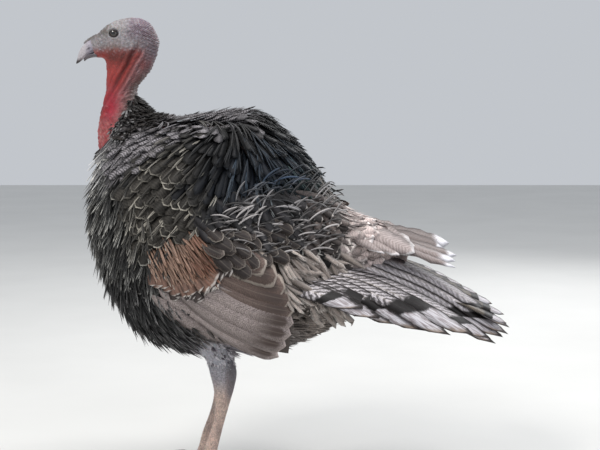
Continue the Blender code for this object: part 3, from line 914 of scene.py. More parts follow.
def lid_material():
    made, tree, shader = new_material("eyelid", Specular_IOR_Level=0.4)
    cloud = noise(tree, object_place(tree), 900.0, 2.0, 0.6)
    colour = colour_mix(tree, cloud, tint(40, 35, 37), tint(92, 85, 88))
    colour = colour_mix(tree, attribute(tree, "inner"), colour, tint(26, 22, 24))
    wire(tree, shader, colour, fade(tree, cloud, 0.3, 0.7, 0.35, 0.6), cloud, distance=0.0003)
    return made


def lid_points(ring, centre, sign):
    """A ring round the unit circle brought to the eyeball as a wrinkled rim; and how far in."""
    turn = np.arctan2(ring[:, 1], ring[:, 0])
    reach = np.hypot(ring[:, 0], ring[:, 1]) - 1.0
    pucker = 1 + 0.16 * np.sin(turn * 23) + 0.1 * np.sin(turn * 37 + 1)
    swell = 0.0046 * np.where(np.sin(turn) > 0, 1.2, 1.0)
    wide = 0.0059 + reach * swell * 0.9 * pucker
    x, z = wide * np.cos(turn) * 1.27, wide * np.sin(turn)
    x += 0.0009 * np.cos(turn) ** 3 * np.sign(-np.cos(turn))
    level = np.sqrt(np.maximum(EYE_RADIUS ** 2 - np.minimum(x ** 2 + z ** 2, 6.2e-5), 0))
    proud = ring[:, 2] * 0.0036 * pucker
    return xyz(centre[0] + x, centre[1] + sign * (level + proud), centre[2] + z), reach


def make_eyes():
    """Wet eyeballs and the wrinkled rims of their lids."""
    ball_finish, lid_finish = eye_material(), lid_material()
    for name, sign in SIDES:
        centre = np.array((EYE_CENTRE[0], sign * EYE_CENTRE[1], EYE_CENTRE[2]))
        mesh = primitive(bpy.ops.mesh.primitive_uv_sphere_add, segments=56, ring_count=40,
                         radius=EYE_RADIUS, location=centre)
        look = unit(np.array((-0.12, sign * 1.0, -0.02)))
        away = np.arccos(np.clip(unit(mesh_points(mesh) - centre) @ look, -1, 1))
        set_values(mesh, "from_axis", away)
        new_piece(f"eyeball_{name}", mesh, ball_finish, (f"eye_{name}",))
        mesh = primitive(bpy.ops.mesh.primitive_torus_add, major_segments=72, minor_segments=16,
                         major_radius=1.0, minor_radius=0.3)
        points, reach = lid_points(mesh_points(mesh), centre, sign)
        mesh.vertices.foreach_set("co", points.astype(np.float32).ravel())
        face_outwards(mesh)
        set_values(mesh, "inner", ramp(reach, 0.02, -0.22))
        new_piece(f"eyelid_{name}", mesh, lid_finish)


def bill_material():
    made, tree, shader = new_material("bill horn", Specular_IOR_Level=0.45)
    stretched = put(tree, "ShaderNodeMapping", {"Vector": object_place(tree),
                                                "Scale": (260.0, 700.0, 420.0)})
    grain = noise(tree, stretched.outputs[0], 1.0, 4.0, 0.65)
    colour = scaled(tree, attribute(tree, "horn", "Color"), fade(tree, grain, 0.2, 0.8, 0.74, 1.16))
    wire(tree, shader, colour, fade(tree, grain, 0.3, 0.8, 0.34, 0.55), grain, 0.0003, 0.7)
    return made


def nostril(x, z, length, width, above=0.0):
    """1 in the middle of an oval laid along the nostril, and fading to 0 round it."""
    along = (x - NOSTRIL[0]) * -0.80 + (z - NOSTRIL[1]) * -0.60
    across = (x - NOSTRIL[0]) * 0.60 + (z - NOSTRIL[1]) * -0.80
    return np.exp(-(along / length) ** 2 - ((across + above) / width) ** 2)


def make_bill(finish):
    """Both halves of the bill, the upper one with its nostrils and its cutting edge."""
    for name, rows in (("bill_upper", UPPER_BILL), ("bill_lower", LOWER_BILL)):
        last = len(rows) - 1
        place, angle = ring_grid(np.linspace(-0.35, last, 110), 72)
        points, normal, _, _ = surface_frame(functools.partial(ring_point, rows), place, angle)
        x, z = points[..., 0], points[..., 2]
        rise = np.zeros_like(x)
        if name == "bill_upper":
            flap, hole = nostril(x, z, 0.0042, 0.0016, 0.0028), nostril(x, z, 0.0032, 0.0013)
            rise += (0.0009 * flap - 0.0022 * hole) * np.abs(np.sin(angle))
            rise += 0.0006 * bump(np.cos(angle), -0.62, 0.16) * ramp(place, 5.0, 3.5)
            rise += 0.0007 * ramp(place, 0.75, 0.25)
        rise += 0.00012 * np.sin(place * 26) * ramp(place, 0.2, 1.2)
        rise *= ramp(place, last, last - 0.6)
        mesh = tube_mesh(name, points + normal * rise[..., None])
        x, _, z = mesh_points(mesh).T
        horn = layered(tint(152, 146, 158), ((178, 172, 176), ramp(x, -0.336, -0.350)),
                       ((60, 54, 54), ramp(z, 0.7035, 0.6955) * ramp(x, -0.337, -0.358)))
        if name == "bill_upper":
            horn = layered(horn, ((38, 30, 34), 0.95 * nostril(x, z, 0.0034, 0.0014)))
        else:
            horn = layered(horn, ((70, 62, 64), 0.75))
        set_values(mesh, "horn", horn)
        new_piece(f"{name}_horn", mesh, finish, (name,))


def claw_mesh(name, bearing, side, length, radius):
    """A claw that leaves the toe's end level and bends to the ground."""
    heading, across = toe_axes(bearing, side)
    root = ankle_place(side) + UP * TOE_SINK * radius + heading * (length - 0.004)
    share = np.linspace(0, 1, 24)
    drop = -(TOE_SINK * radius - 0.0011) * share ** 2 + 0.0009 * np.sin(math.pi * share)
    centre = root + heading * (share * (CLAW_LENGTH + 0.0035))[:, None]
    centre[:, 2] += drop
    width = radius * 0.56 * (1 - share) ** 0.75 + 0.00045
    rings = round_rings(centre, width, across, UP, TOE_AROUND, 0.86)
    rings[..., 2] = np.maximum(rings[..., 2], 0.0005)
    mesh = tube_mesh(name, rings)
    share = np.append(np.repeat(share, TOE_AROUND), (0, 1))
    set_values(mesh, "horn", layered(tint(96, 84, 80), ((44, 38, 38), share)))
    return mesh


def make_claws(finish):
    """Blunt, down-curved claws, one at the end of each toe."""
    for side_name, side in SIDES:
        for toe, bearing, length, radius in TOES:
            name = f"claw_{side_name}_{toe}"
            mesh = claw_mesh(name, bearing, side, length, radius)
            new_piece(f"{name}_horn", mesh, finish, (name,))


# ---- the body's coat ----
def behind_bare_neck(points):
    """Where feathers may root: not on the head, nor on the bare front of the neck."""
    x, y, z = points[..., 0], points[..., 1], points[..., 2]
    front = np.interp(z, (0.545, 0.565, 0.594, 0.615, 0.645, 0.66),
                      (-0.36, -0.302, -0.300, -0.288, -0.266, -0.2))
    return (x > front + 0.2 * np.abs(y) * ramp(z, 0.60, 0.64)) & (z < 0.652)


def body_values(points, angle, seed):
    """The colours and marks of a body feather by where it is rooted."""
    source = np.random.default_rng(seed)
    count = len(points)
    light = 0.72 + 0.56 * source.uniform(0, 1, (count, 1))
    x, z = (points[:, axis] + source.normal(0, 0.008, count) for axis in (0, 2))
    back = np.cos(angle)
    marks = {"ground": tint(12, 11, 12), "barred": tint(10, 9, 10), "fringe": tint(172, 170, 165),
             "bars": 0.0, "rimmed": 0.85, "wide": 1.0}

    def paint(share, **changes):
        for key, value in changes.items():
            if np.ndim(value):
                marks[key] = blend(marks[key], tint(*value), share)
            else:
                marks[key] = marks[key] * (1 - share) + value * share

    shoulder = ramp(x, -0.290, -0.235) * ramp(z, 0.40, 0.46) * ramp(x, -0.08, -0.13)
    paint(shoulder * 0.9, ground=(60, 56, 51), fringe=(166, 160, 149), bars=0.5)
    black = ramp(x, -0.160, -0.120) * ramp(x, 0.035, -0.010) * ramp(z, 0.50, 0.54)
    paint(black, ground=(7, 6, 7), fringe=(34, 33, 34), bars=0.0, rimmed=0.3)
    over_arc = z - 0.006 - np.interp(x, (-0.274, -0.234, -0.180, -0.138),
                                     (0.529, 0.552, 0.579, 0.592))
    cape = ramp(x, -0.285, -0.265) * ramp(x, -0.095, -0.125)
    paint(bump(over_arc, -0.009, 0.008) * cape,
          ground=(10, 9, 10), fringe=(60, 58, 56), bars=0.0, rimmed=0.3)
    paint(ramp(over_arc, -0.002, 0.006) * cape, ground=(138, 134, 138), barred=(48, 45, 46),
          fringe=(144, 140, 140), bars=0.85, rimmed=0.15)
    nape = ramp(z, 0.575, 0.600) * ramp(x, -0.215, -0.235)
    paint(nape, ground=(30, 26, 25), fringe=(78, 68, 60), bars=0.1, rimmed=0.3)
    ruff = ramp(x, -0.278, -0.298) * ramp(z, 0.520, 0.545)
    paint(ruff, ground=(136, 135, 136), fringe=(200, 198, 194), bars=0.3, wide=1.3)
    low_breast = ramp(z, 0.390, 0.340) * ramp(x, -0.130, -0.170)
    paint(low_breast, ground=(8, 8, 9), fringe=(118, 116, 116), rimmed=0.7)
    # Painted sheen: blue and green tints over patches of the back stand for the plumage's iridescent
    # glints.
    painted_blue_sheen = bump(np.hypot((x + 0.045) / 1.2, z - 0.530), 0, 0.050)
    paint(0.9 * painted_blue_sheen, ground=(18, 28, 42), fringe=(62, 84, 104), rimmed=0.7)
    green = bump(np.hypot(x / 1.2, z - 0.515), 0, 0.035)
    paint(0.7 * green, ground=(20, 40, 36), fringe=(60, 84, 74), rimmed=0.6)
    lower_back = ramp(x, 0.005, 0.05) * ramp(back, -0.1, 0.25)
    paint(lower_back, ground=(78, 70, 68), barred=(38, 34, 34), fringe=(206, 196, 188), bars=0.35,
          rimmed=0.95, wide=1.6)
    rump = ramp(x, 0.035, 0.080) * ramp(back, -0.1, 0.25)
    paint(rump, ground=(204, 188, 184), barred=(140, 122, 116), fringe=(228, 220, 216), bars=0.3,
          rimmed=0.9, wide=2.0)
    belly = ramp(z, 0.335, 0.300) * ramp(x, -0.205, -0.155)
    paint(belly, ground=(98, 92, 90), barred=(66, 60, 56), fringe=(156, 148, 144), bars=0.2,
          rimmed=0.6)
    vent = ramp(x, -0.06, 0.0) * ramp(back, 0.15, -0.25)
    paint(vent, ground=(122, 112, 106), barred=(84, 74, 68), fringe=(182, 172, 164), bars=0.2,
          rimmed=0.6)
    down = ramp(z, 0.265, 0.235) * ramp(x, -0.215, -0.19) * ramp(x, -0.06, -0.10)
    paint(down, ground=(140, 134, 140), fringe=(178, 172, 176), bars=0.0, rimmed=0.4)
    bold = source.uniform(0, 1, count) ** 2.1
    marks["ground"] = marks["ground"] * light
    marks["rimmed"] = marks["rimmed"] * (0.15 + 0.85 * bold)
    marks["fringe"] = marks["fringe"] * (0.6 + 1.5 * bold[:, None])
    marks["pick"] = source.uniform(0, 1, count)
    return marks


def row_roots(places, across, apart, seed):
    """Roots in offset rows round the body, the rows `apart` metres from each other."""
    source = np.random.default_rng(seed)
    fine = np.linspace(*places, 400)
    run = distances(0.5 * (body_point(fine, 0.8 + 0 * fine) + body_point(fine, 2.2 + 0 * fine)))
    rows = np.interp(np.arange(0, run[-1], apart), run, fine)
    ring = np.linspace(0, TAU, 240)
    all_places, all_angles = [], []
    for number, row in enumerate(rows):
        girth = distances(body_point(row + 0 * ring, ring))
        count = int(girth[-1] / across)
        spot = (np.arange(count) + 0.5 * (number % 2) + source.normal(0, 0.09, count)) * across
        all_angles.append(np.interp(spot % girth[-1], girth, ring))
        all_places.append(row + source.normal(0, 0.09, count) * (rows[1] - rows[0]))
    return np.concatenate(all_places), np.concatenate(all_angles)


def coat_piece(name, finish, slot, places, spacing, length, width, low, high, seed, keep=None,
               steps=10, drop=0.0, ragged=0.5, blunt=2.6, full=0.66, wander=0.2, camber=0.3,
               twist=0.2, tips=0.0, rows=None, split=1, spread=0.5, uneven=0.25):
    """Feathers rooted all over one tract of the body, singly or in tufts of `split` strands.

    `places` are the body's rows it reaches, `spacing` and `rows` the distances between roots, and
    `low` and `high` the heights of a feather's root and tip.
    """
    def allowed(here, back):
        return behind_bare_neck(here) & (keep is None or keep(here, back))

    source = np.random.default_rng(seed + 500)
    if rows:
        place, angle = row_roots(places, spacing, rows, seed)
        kept = allowed(body_point(place, angle), np.cos(angle))
        place, angle = place[kept], angle[kept]
    else:
        place, angle = scatter(body_point, places, spacing, allowed, seed)
    marks = body_values(body_point(place, angle), angle, seed)
    marks["tips"] = np.full(len(place), tips)
    marks = {key: np.repeat(value, split, axis=0) for key, value in marks.items()}
    turn = np.repeat(source.normal(0, wander, len(place)), split)
    size = np.repeat(source.uniform(0.85, 1.15, len(place)), split)
    place, angle = np.repeat(place, split), np.repeat(angle, split)
    count = len(place)
    if split > 1:
        fan = np.tile(np.linspace(-0.5, 0.5, split), count // split) * spread
        turn = turn + fan + source.normal(0, 0.06, count)
        size = size * (1 - 0.5 * np.abs(fan)) * source.uniform(0.85, 1.1, count)
    lift = high + source.normal(0, uneven, count) * abs(high - low) * 0.6
    if callable(drop):
        drop = drop(body_point(place, angle), np.cos(angle))
    points, normals = grow(body_point, place, angle, length * size, turn, low, lift, steps, 1.15,
                           drop)
    spots = np.stack((place / len(BODY), (angle / TAU) % 1 * 0.99), axis=-1)
    return vane_piece(name, finish, slot, points, normals, outline(width * size, steps, full, blunt),
                      marks, spots, ragged=ragged, camber=camber, twist=twist, seed=seed + 900)


def open_side(here, _=None):
    """True where no folded wing hides the body."""
    x, z = here[..., 0], here[..., 2]
    top = np.interp(x, (-0.21, -0.12, -0.03, 0.01), (0.405, 0.430, 0.400, 0.35))
    bottom = np.interp(x, (-0.21, -0.13, -0.05, 0.0), (0.37, 0.30, 0.262, 0.25))
    return ~((x > -0.19) & (x < -0.01) & (z < top - 0.01) & (z > bottom + 0.015)
             & (np.abs(here[..., 1]) > 0.09))


def on_breast(here, _=None):
    """True where loose strands cover the breast and the front of the flank."""
    limit = np.interp(here[..., 2], (0.215, 0.24, 0.30, 0.35, 0.43, 0.53, 0.57),
                      (-0.12, -0.180, -0.196, -0.212, -0.218, -0.262, -0.29))
    return (here[..., 0] < limit + 0.012 * ripple(here, 0.03, 12)) & open_side(here)


def on_back(here, _=None):
    return ~on_breast(here) & open_side(here) & (here[..., 2] > 0.40)


def on_mantle(here, _=None):
    limit = -0.125 + 0.010 * ripple(here, 0.03, 13)
    return on_back(here) & (here[..., 0] < limit) & (here[..., 2] > 0.42)


def outward(here, _):
    """Which way the breast's strands fall: forwards off the chest, and down."""
    share = ramp(here[..., 0], -0.17, -0.27) * ramp(here[..., 2], 0.30, 0.40)
    return share[:, None] * np.array((-0.55, 0.0, -0.15)) + np.array((0.0, 0.0, -0.08))


def forward(here, back):
    """Which way the back's feathers fall: over the shoulders towards the breast."""
    x, z = here[..., 0], here[..., 2]
    share = ramp(x, 0.010, -0.190) * ramp(z, 0.40, 0.45) * ramp(back, 0.99, 0.70)
    return share[:, None] * np.array((-1.8, 0.0, -0.55)) + np.array((0.0, 0.0, -0.03))


def thigh_point(side, place, angle):
    return leg_point(place, angle * side, side)


def thigh_feathers(name, side, finish, seed):
    """Small pale feathers over the thigh, shorter towards the hock."""
    source = np.random.default_rng(seed)
    thigh = functools.partial(thigh_point, side)
    place, angle = scatter(thigh, (0.4, 3.35), 0.0062, lambda here, back: here[..., 2] > 0.210,
                           seed, 5000)
    count = len(place)
    size = source.uniform(0.8, 1.15, count) * np.interp(place, (1.8, 3.2), (1.0, 0.36))
    points, normals = grow(thigh, place, angle, 0.030 * size, source.normal(0, 0.3, count),
                           -0.004, 0.0016 + source.normal(0, 0.0007, count), 8)
    dark = (source.uniform(0, 1, count) < 0.22)[:, None]
    ground = np.where(dark, tint(84, 78, 86), tint(188, 184, 190))
    vane_piece(f"thigh_feathers_{name}", finish, "thigh_down", points, normals,
               outline(0.0042 * size, 8, 0.6, 2.0),
               {"ground": ground * source.uniform(0.7, 1.2, (count, 1)), "barred": tint(90, 84, 92),
                "fringe": tint(196, 194, 198), "bars": 0.2, "rimmed": 0.6},
               np.stack((place / len(BODY), (angle / TAU) * 0.99), axis=-1), ragged=0.6, seed=seed)


def make_coat():
    """The feathers of neck, breast, back, belly and thighs, and the down under them."""
    plain = feather_material("contour vanes", pitch=0.0044, lean=0.2, fringe=0.0024, barbs=1.7)
    strand = feather_material("strand vanes", 0.5, pitch=0.0032, fringe=0.0011, barbs=1.2)
    soft = feather_material("soft vanes", 0.2, 0.1, pitch=0.0045, fringe=0.0012, barbs=1.4)
    coat_piece("nape_feathers", strand, "neck_feathers", (9.0, 12.4), 0.0052, 0.024, 0.0032,
               -0.006, 0.003, 41, wander=0.3, ragged=0.6, split=3, spread=0.8, steps=7)
    coat_piece("breast_ground", plain, "breast_feathers", (11.6, 19.0), 0.0135, 0.044, 0.0100,
               -0.012, -0.0030, 42, on_breast, drop=0.1, rows=0.0125, wander=0.1)
    for (name, side), seed in zip(SIDES, (47, 48)):
        coat_piece(f"breast_strands_{name}", strand, "breast_feathers", (11.8, 20.5), 0.0105, 0.056,
                   0.0026, -0.0110, 0.0030, seed,
                   lambda here, back, side=side: on_breast(here) & (here[..., 1] * side >= 0),
                   drop=outward, split=4, spread=0.36, steps=9, wander=0.14, uneven=0.65,
                   blunt=2.0, full=0.5, ragged=0.3, camber=0.5)
    coat_piece("mantle_rows", plain, "body_feathers", (11.9, 17.5), 0.0150, 0.056, 0.0092,
               -0.010, 0.0030, 43, on_mantle, rows=0.0105, blunt=4.0, full=0.84, wander=0.09,
               ragged=0.10, camber=0.12, twist=0.07, steps=13, uneven=0.3, drop=forward, tips=0.15)
    coat_piece("back_rows", plain, "body_feathers", (12.6, 19.5), 0.0100, 0.062, 0.0080,
               -0.012, 0.0030, 53, lambda here, back: on_back(here) & ~on_mantle(here),
               rows=0.0175, blunt=3.6, full=0.80, wander=0.11, ragged=0.18, camber=0.22,
               twist=0.16, steps=12, uneven=0.3, drop=forward, tips=0.15)
    coat_piece("back_strands", strand, "body_feathers", (12.6, 21.0), 0.0150, 0.046, 0.0018,
               -0.002, 0.0036, 49, lambda here, back: on_back(here) & (back > -0.3), split=3,
               spread=0.30, steps=8, wander=0.16, uneven=0.5, blunt=2.0, full=0.5, drop=forward)
    coat_piece("flank_feathers", plain, "body_feathers", (18.4, 22.0), 0.0150, 0.050, 0.0125,
               -0.011, 0.001, 44, open_side, rows=0.0125, drop=0.2)
    coat_piece("rump_feathers", soft, "covert_feathers", (21.0, 24.8), 0.0130, 0.052, 0.0140,
               -0.008, 0.003, 45, lambda here, back: back > -0.3, uneven=0.4, camber=0.4)
    coat_piece("vent_down", soft, "body_feathers", (18.6, 24.8), 0.0130, 0.056, 0.0030,
               -0.009, 0.0020, 50,
               lambda here, back: (back < -0.02) & open_side(here) & ~on_breast(here), split=5,
               spread=0.55, steps=8, drop=0.55, uneven=0.5, wander=0.2, camber=0.5)
    for (name, side), seed in zip(SIDES, (51, 52)):
        thigh_feathers(name, side, soft, seed)
    coat_piece("underdown", soft, "body_feathers", (12.6, 24.6), 0.0160, 0.032, 0.0120,
               -0.0125, -0.007, 46, open_side, steps=7)


# ---- wings ----
def wing_section(rib, share):
    """Points of the folded wing, from top to bottom of its ribs: x, z, y of the flat, and bulge."""
    row = smooth_rows(WING, rib)
    x, z, edge = (row[..., top] + (row[..., bottom] - row[..., top]) * share
                  for top, bottom in ((0, 2), (1, 3), (4, 5)))
    return x, z, edge, row[..., 6] * np.sin(math.pi * share) ** 0.8


def neighbours(height):
    """The sum of each cell's four neighbours."""
    wide = np.pad(height, 1, mode="edge")
    return wide[:-2, 1:-1] + wide[2:, 1:-1] + wide[1:-1, :-2] + wide[1:-1, 2:]


def side_map():
    """How far out the body and the folded wing reach, over a level grid in the side view."""
    height = np.zeros(SIDE_CELLS)
    place, angle = np.meshgrid(np.linspace(9, 25, 1500), np.linspace(0.02, math.pi, 700))
    rib, share = np.meshgrid(np.linspace(0, 7, 700), np.linspace(0, 1, 500))
    x, z, edge, bulge = wing_section(rib.ravel(), share.ravel())
    for points in (body_point(place.ravel(), angle.ravel()), xyz(x, edge + bulge, z)):
        cells = [((points[:, axis] - start) / SIDE_STEP).round().astype(int).clip(0, count - 1)
                 for axis, start, count in zip((0, 2), SIDE_START, SIDE_CELLS)]
        np.maximum.at(height, tuple(cells), points[:, 1])
    for _ in range(5):
        height = np.maximum(height, 0.5 * height + 0.125 * neighbours(height))
    for _ in range(6):
        height = 0.4 * height + 0.15 * neighbours(height)
    return height


SIDE_HEIGHT = side_map()


def side_height(x, z):
    """How far out the bird's side lies at a point of the side view."""
    i, k = (((value - start) / SIDE_STEP).clip(0, count - 1.001)
            for value, start, count in zip((x, z), SIDE_START, SIDE_CELLS))
    at, up = i.astype(int), k.astype(int)
    u, v = i - at, k - up
    return ((SIDE_HEIGHT[at, up] * (1 - u) + SIDE_HEIGHT[at + 1, up] * u) * (1 - v)
            + (SIDE_HEIGHT[at, up + 1] * (1 - u) + SIDE_HEIGHT[at + 1, up + 1] * u) * v)


def side_lines(x, z, heading, bend, length, low, high, side, steps=12, rise=1.0):
    """Centre lines laid over the bird's side; heading is how far each points down from back."""
    x, z = x.copy(), z.copy()
    points, normals = [], []
    step = 0.005
    for share in np.linspace(0, 1, steps):
        slope_x = (side_height(x + step, z) - side_height(x - step, z)) / (2 * step)
        slope_z = (side_height(x, z + step) - side_height(x, z - step)) / (2 * step)
        normal = unit(xyz(-slope_x.clip(-1.2, 1.2), np.ones_like(x), -slope_z.clip(-1.2, 1.2)))
        height = low + (high - low) * share ** rise
        points.append((xyz(x, side_height(x, z), z) + normal * height[..., None]) * (1, side, 1))
        normals.append(normal * (1, side, 1))
        way = heading + bend * share
        x += np.cos(way) * length / (steps - 1)
        z -= np.sin(way) * length / (steps - 1)
    return np.stack(points, axis=1), np.stack(normals, axis=1)


def wing_patch(x, z):
    return np.stack(((x + 0.26) / 0.40, (z - 0.2) / 0.30), axis=-1).clip(0, 0.99)


def side_roots(inside, spacing, rows, heading, source):
    """Roots inside one outline of the side view, in offset rows or scattered."""
    if rows:
        down, over = (part.ravel() for part in np.meshgrid(np.arange(-0.3, 0.3, rows),
                                                           np.arange(-0.3, 0.3, spacing)))
        over = over + spacing * 0.5 * ((down / rows).round() % 2)
        down = down + source.normal(0, 0.22 * rows, len(down))
        over = over + source.normal(0, 0.16 * spacing, len(over))
        way = math.radians(float(np.mean(heading(np.array((-0.05,)), np.array((0.45,))))))
        x = -0.06 + down * math.cos(way) + over * math.sin(way)
        z = 0.40 - down * math.sin(way) + over * math.cos(way)
    else:
        x, z = source.uniform(-0.26, 0.14, 9000), source.uniform(0.21, 0.52, 9000)
    kept = inside(x, z)
    x, z = x[kept], z[kept]
    if not rows:
        kept = spaced(np.stack((x, z), axis=-1), spacing)
        x, z = x[kept], z[kept]
    return x, z


def side_tract(name, finish, slot, side, inside, spacing, length, width, heading, values, seed,
               low=-0.001, high=0.004, steps=12, bend=-0.15, wander=0.12, blunt=2.6, full=0.7,
               ragged=0.3, camber=0.3, twist=0.15, rows=None):
    """Feathers rooted inside one outline of the side view; heading gives their way in degrees."""
    source = np.random.default_rng(seed)
    x, z = side_roots(inside, spacing, rows, heading, source)
    count = len(x)
    size = source.uniform(0.85, 1.15, count)
    way = np.radians(heading(x, z)) + source.normal(0, wander, count)
    lift = high + source.normal(0, 0.25, count) * (high - low)
    points, normals = side_lines(x, z, way, bend, length * size, low, lift, side, steps)
    return vane_piece(name, finish, slot, points, normals, outline(width * size, steps, full, blunt),
                      values(x, z, source), wing_patch(x, z), camber=camber, ragged=ragged,
                      twist=twist, seed=seed + 1)


def low_border(x):
    """The pale lower border of the wrist patch."""
    return np.interp(x, (-0.240, -0.215, -0.180, -0.150, -0.130, -0.102),
                     (0.376, 0.352, 0.338, 0.341, 0.353, 0.392))


def in_wrist(x, z):
    top = np.interp(x, (-0.240, -0.205, -0.165, -0.125), (0.398, 0.424, 0.434, 0.428))
    return (z > low_border(x + 0.010) + 0.024) & (z < top) & (x > -0.238) & (x < -0.138)


def wrist_values(x, z, source):
    count = len(x)
    last = ramp(z - low_border(x + 0.010), 0.034, 0.025)
    ground = layered(tint(156, 130, 116), ((116, 80, 66), ramp(x, -0.195, -0.150)))
    return {"ground": ground * source.uniform(0.60, 1.22, (count, 1)), "barred": tint(84, 58, 46),
            "fringe": layered(tint(178, 142, 120), ((206, 196, 186), last)),
            "bars": 0.1, "rimmed": source.uniform(0.2, 0.9, count) * (1 - last) + last,
            "wide": 0.7}


def in_wing_coverts(x, z):
    return (x > -0.150) & (x < -0.030) & (z > 0.394 - 0.20 * (x + 0.102)) & (z < 0.450) \
        & (z > low_border(x) + 0.012)


def covert_values(x, z, source):
    count = len(x)
    return {"ground": tint(84, 74, 70) * source.uniform(0.5, 1.35, (count, 1)),
            "barred": tint(44, 38, 37), "fringe": tint(178, 168, 158), "bars": 0.6,
            "rimmed": source.uniform(0.3, 1.0, count), "wide": source.uniform(0.5, 1.1, count)}


def in_scapulars(x, z):
    upper = np.interp(x, (-0.17, -0.10, 0.0, 0.05), (0.465, 0.497, 0.500, 0.478))
    lower = np.interp(x, (-0.17, -0.10, 0.0, 0.05), (0.448, 0.447, 0.424, 0.420))
    return (x > -0.165) & (x < 0.045) & (z > lower) & (z < upper)


def scapular_values(x, z, source):
    count = len(x)
    rear = ramp(x, -0.03, 0.03)
    dark = source.uniform(0, 1, count) < 0.45
    bold = source.uniform(0, 1, count)
    ground = layered(tint(44, 42, 45), ((122, 108, 102), 0.75 * rear))
    edge = layered(tint(186, 180, 176), ((214, 204, 196), rear))
    return {"ground": ground * np.where(dark, 0.35, 0.9)[:, None], "barred": tint(30, 28, 30),
            "fringe": edge * (0.45 + 0.7 * bold[:, None]), "bars": 0.4,
            "rimmed": 0.25 + 0.75 * bold, "tips": 1.0, "wide": 0.6 + 1.4 * bold}


def in_edges(x, z):
    upper = np.interp(x, (-0.14, -0.10, -0.05, 0.00, 0.05), (0.450, 0.480, 0.510, 0.510, 0.470))
    lower = np.interp(x, (-0.14, -0.10, -0.05, 0.00, 0.05), (0.430, 0.405, 0.385, 0.390, 0.400))
    return (x > -0.14) & (x < 0.052) & (z > lower) & (z < upper)


def edge_values(x, z, source):
    low = ramp(z, 0.500, 0.440)
    # Painted sheen: a blue tint on the scapular edges over the same patch of the back, for an
    # iridescent glint.
    blue = bump(np.hypot((x + 0.045) / 1.2, z - 0.520), 0, 0.045)
    bold = source.uniform(0, 1, len(x))
    ground = layered(tint(84, 84, 84), ((196, 190, 190), low), ((52, 76, 104), blue))
    return {"ground": ground * (0.12 + 0.80 * bold[:, None] ** 2.6), "barred": tint(60, 56, 56),
            "fringe": layered(ground, ((206, 202, 200), 0.35 * low)) * bold[:, None],
            "bars": 0.1, "rimmed": bold}


def in_flank_tufts(x, z):
    return (x > -0.025) & (x < 0.066) & (z > 0.331 - 0.38 * x) & (z < 0.412 - 0.2 * x)


def tuft_values(x, z, source):
    clump = 0.5 + 0.5 * np.sin(x * 330 + 2.0 * np.sin(z * 170)) * np.sin(z * 250 + x * 90)
    return {"ground": tint(190, 178, 171) * (0.36 + 0.85 * clump[:, None])
            * source.uniform(0.8, 1.2, (len(x), 1)),
            "barred": tint(118, 106, 100), "fringe": tint(222, 214, 208), "bars": 0.2,
            "rimmed": 0.2 + 0.7 * clump}


def wing_core(name, side, finish):
    """The folded wing's own body, which the feathers lie on."""
    x, z, edge, bulge = wing_section(np.linspace(0.3, 5.9, 60)[:, None],
                                     0.05 + 0.88 * np.linspace(0, 1, 25)[None])
    outer = xyz(x, side * (edge + bulge - 0.009), z)
    inner = xyz(x, side * (edge - 0.012), z)
    core = tube_mesh("core", np.concatenate((outer, inner[:, ::-1]), axis=1))
    set_values(core, "ground", np.broadcast_to(tint(74, 66, 62), (len(core.vertices), 3)))
    new_piece(f"wing_{name}_body", core, finish, (f"wing_{name}",))


def secondaries(name, side, finish, seed, source):
    """Broad flight feathers, lowest first, each higher one lying over the last."""
    count, steps = 10, 26
    i = np.linspace(-1, 11, count)
    root_x, root_z = -0.217 + 0.0103 * i, 0.337 + 0.0066 * i
    tip_x, tip_z = -0.030 + 0.0100 * i - 0.00105 * i ** 2, 0.232 + 0.0134 * i
    length = np.hypot(tip_x - root_x, tip_z - root_z) * 1.02
    bend = np.radians(np.linspace(-26, -16, count))
    heading = np.arctan2(root_z - tip_z, tip_x - root_x) - bend / 2
    layer = 0.0008 + 0.0005 * i
    points, normals = side_lines(root_x, root_z, heading, bend, length,
                                 layer - np.interp(i, (-1, 6), (-0.0015, 0.0070)),
                                 layer + 0.0020, side, steps, rise=0.6)
    half = outline(np.interp(i, (0, 6, 11), (0.0185, 0.0205, 0.0220)), steps, 0.86, 3.0, 0.25)
    upper = ramp(i, 4.0, 6.0)
    ground = layered(tint(182, 169, 166), ((112, 94, 87), upper))
    ground = ground * source.uniform(0.82, 1.12, (count, 1))
    quill_piece(f"secondaries_{name}", finish, "wing_feathers", points, normals, half,
                {"ground": ground * np.interp(i, (-1, 5), (0.82, 1.0))[:, None],
                 "barred": tint(72, 60, 56),
                 "fringe": layered(tint(188, 174, 170), ((182, 170, 160), upper)),
                 "bars": 0.3, "rimmed": 0.9, "wide": 1.7 + 0.4 * upper},
                thick=0.0008, camber=0.16, ragged=0.10, twist=0.04, seed=seed)


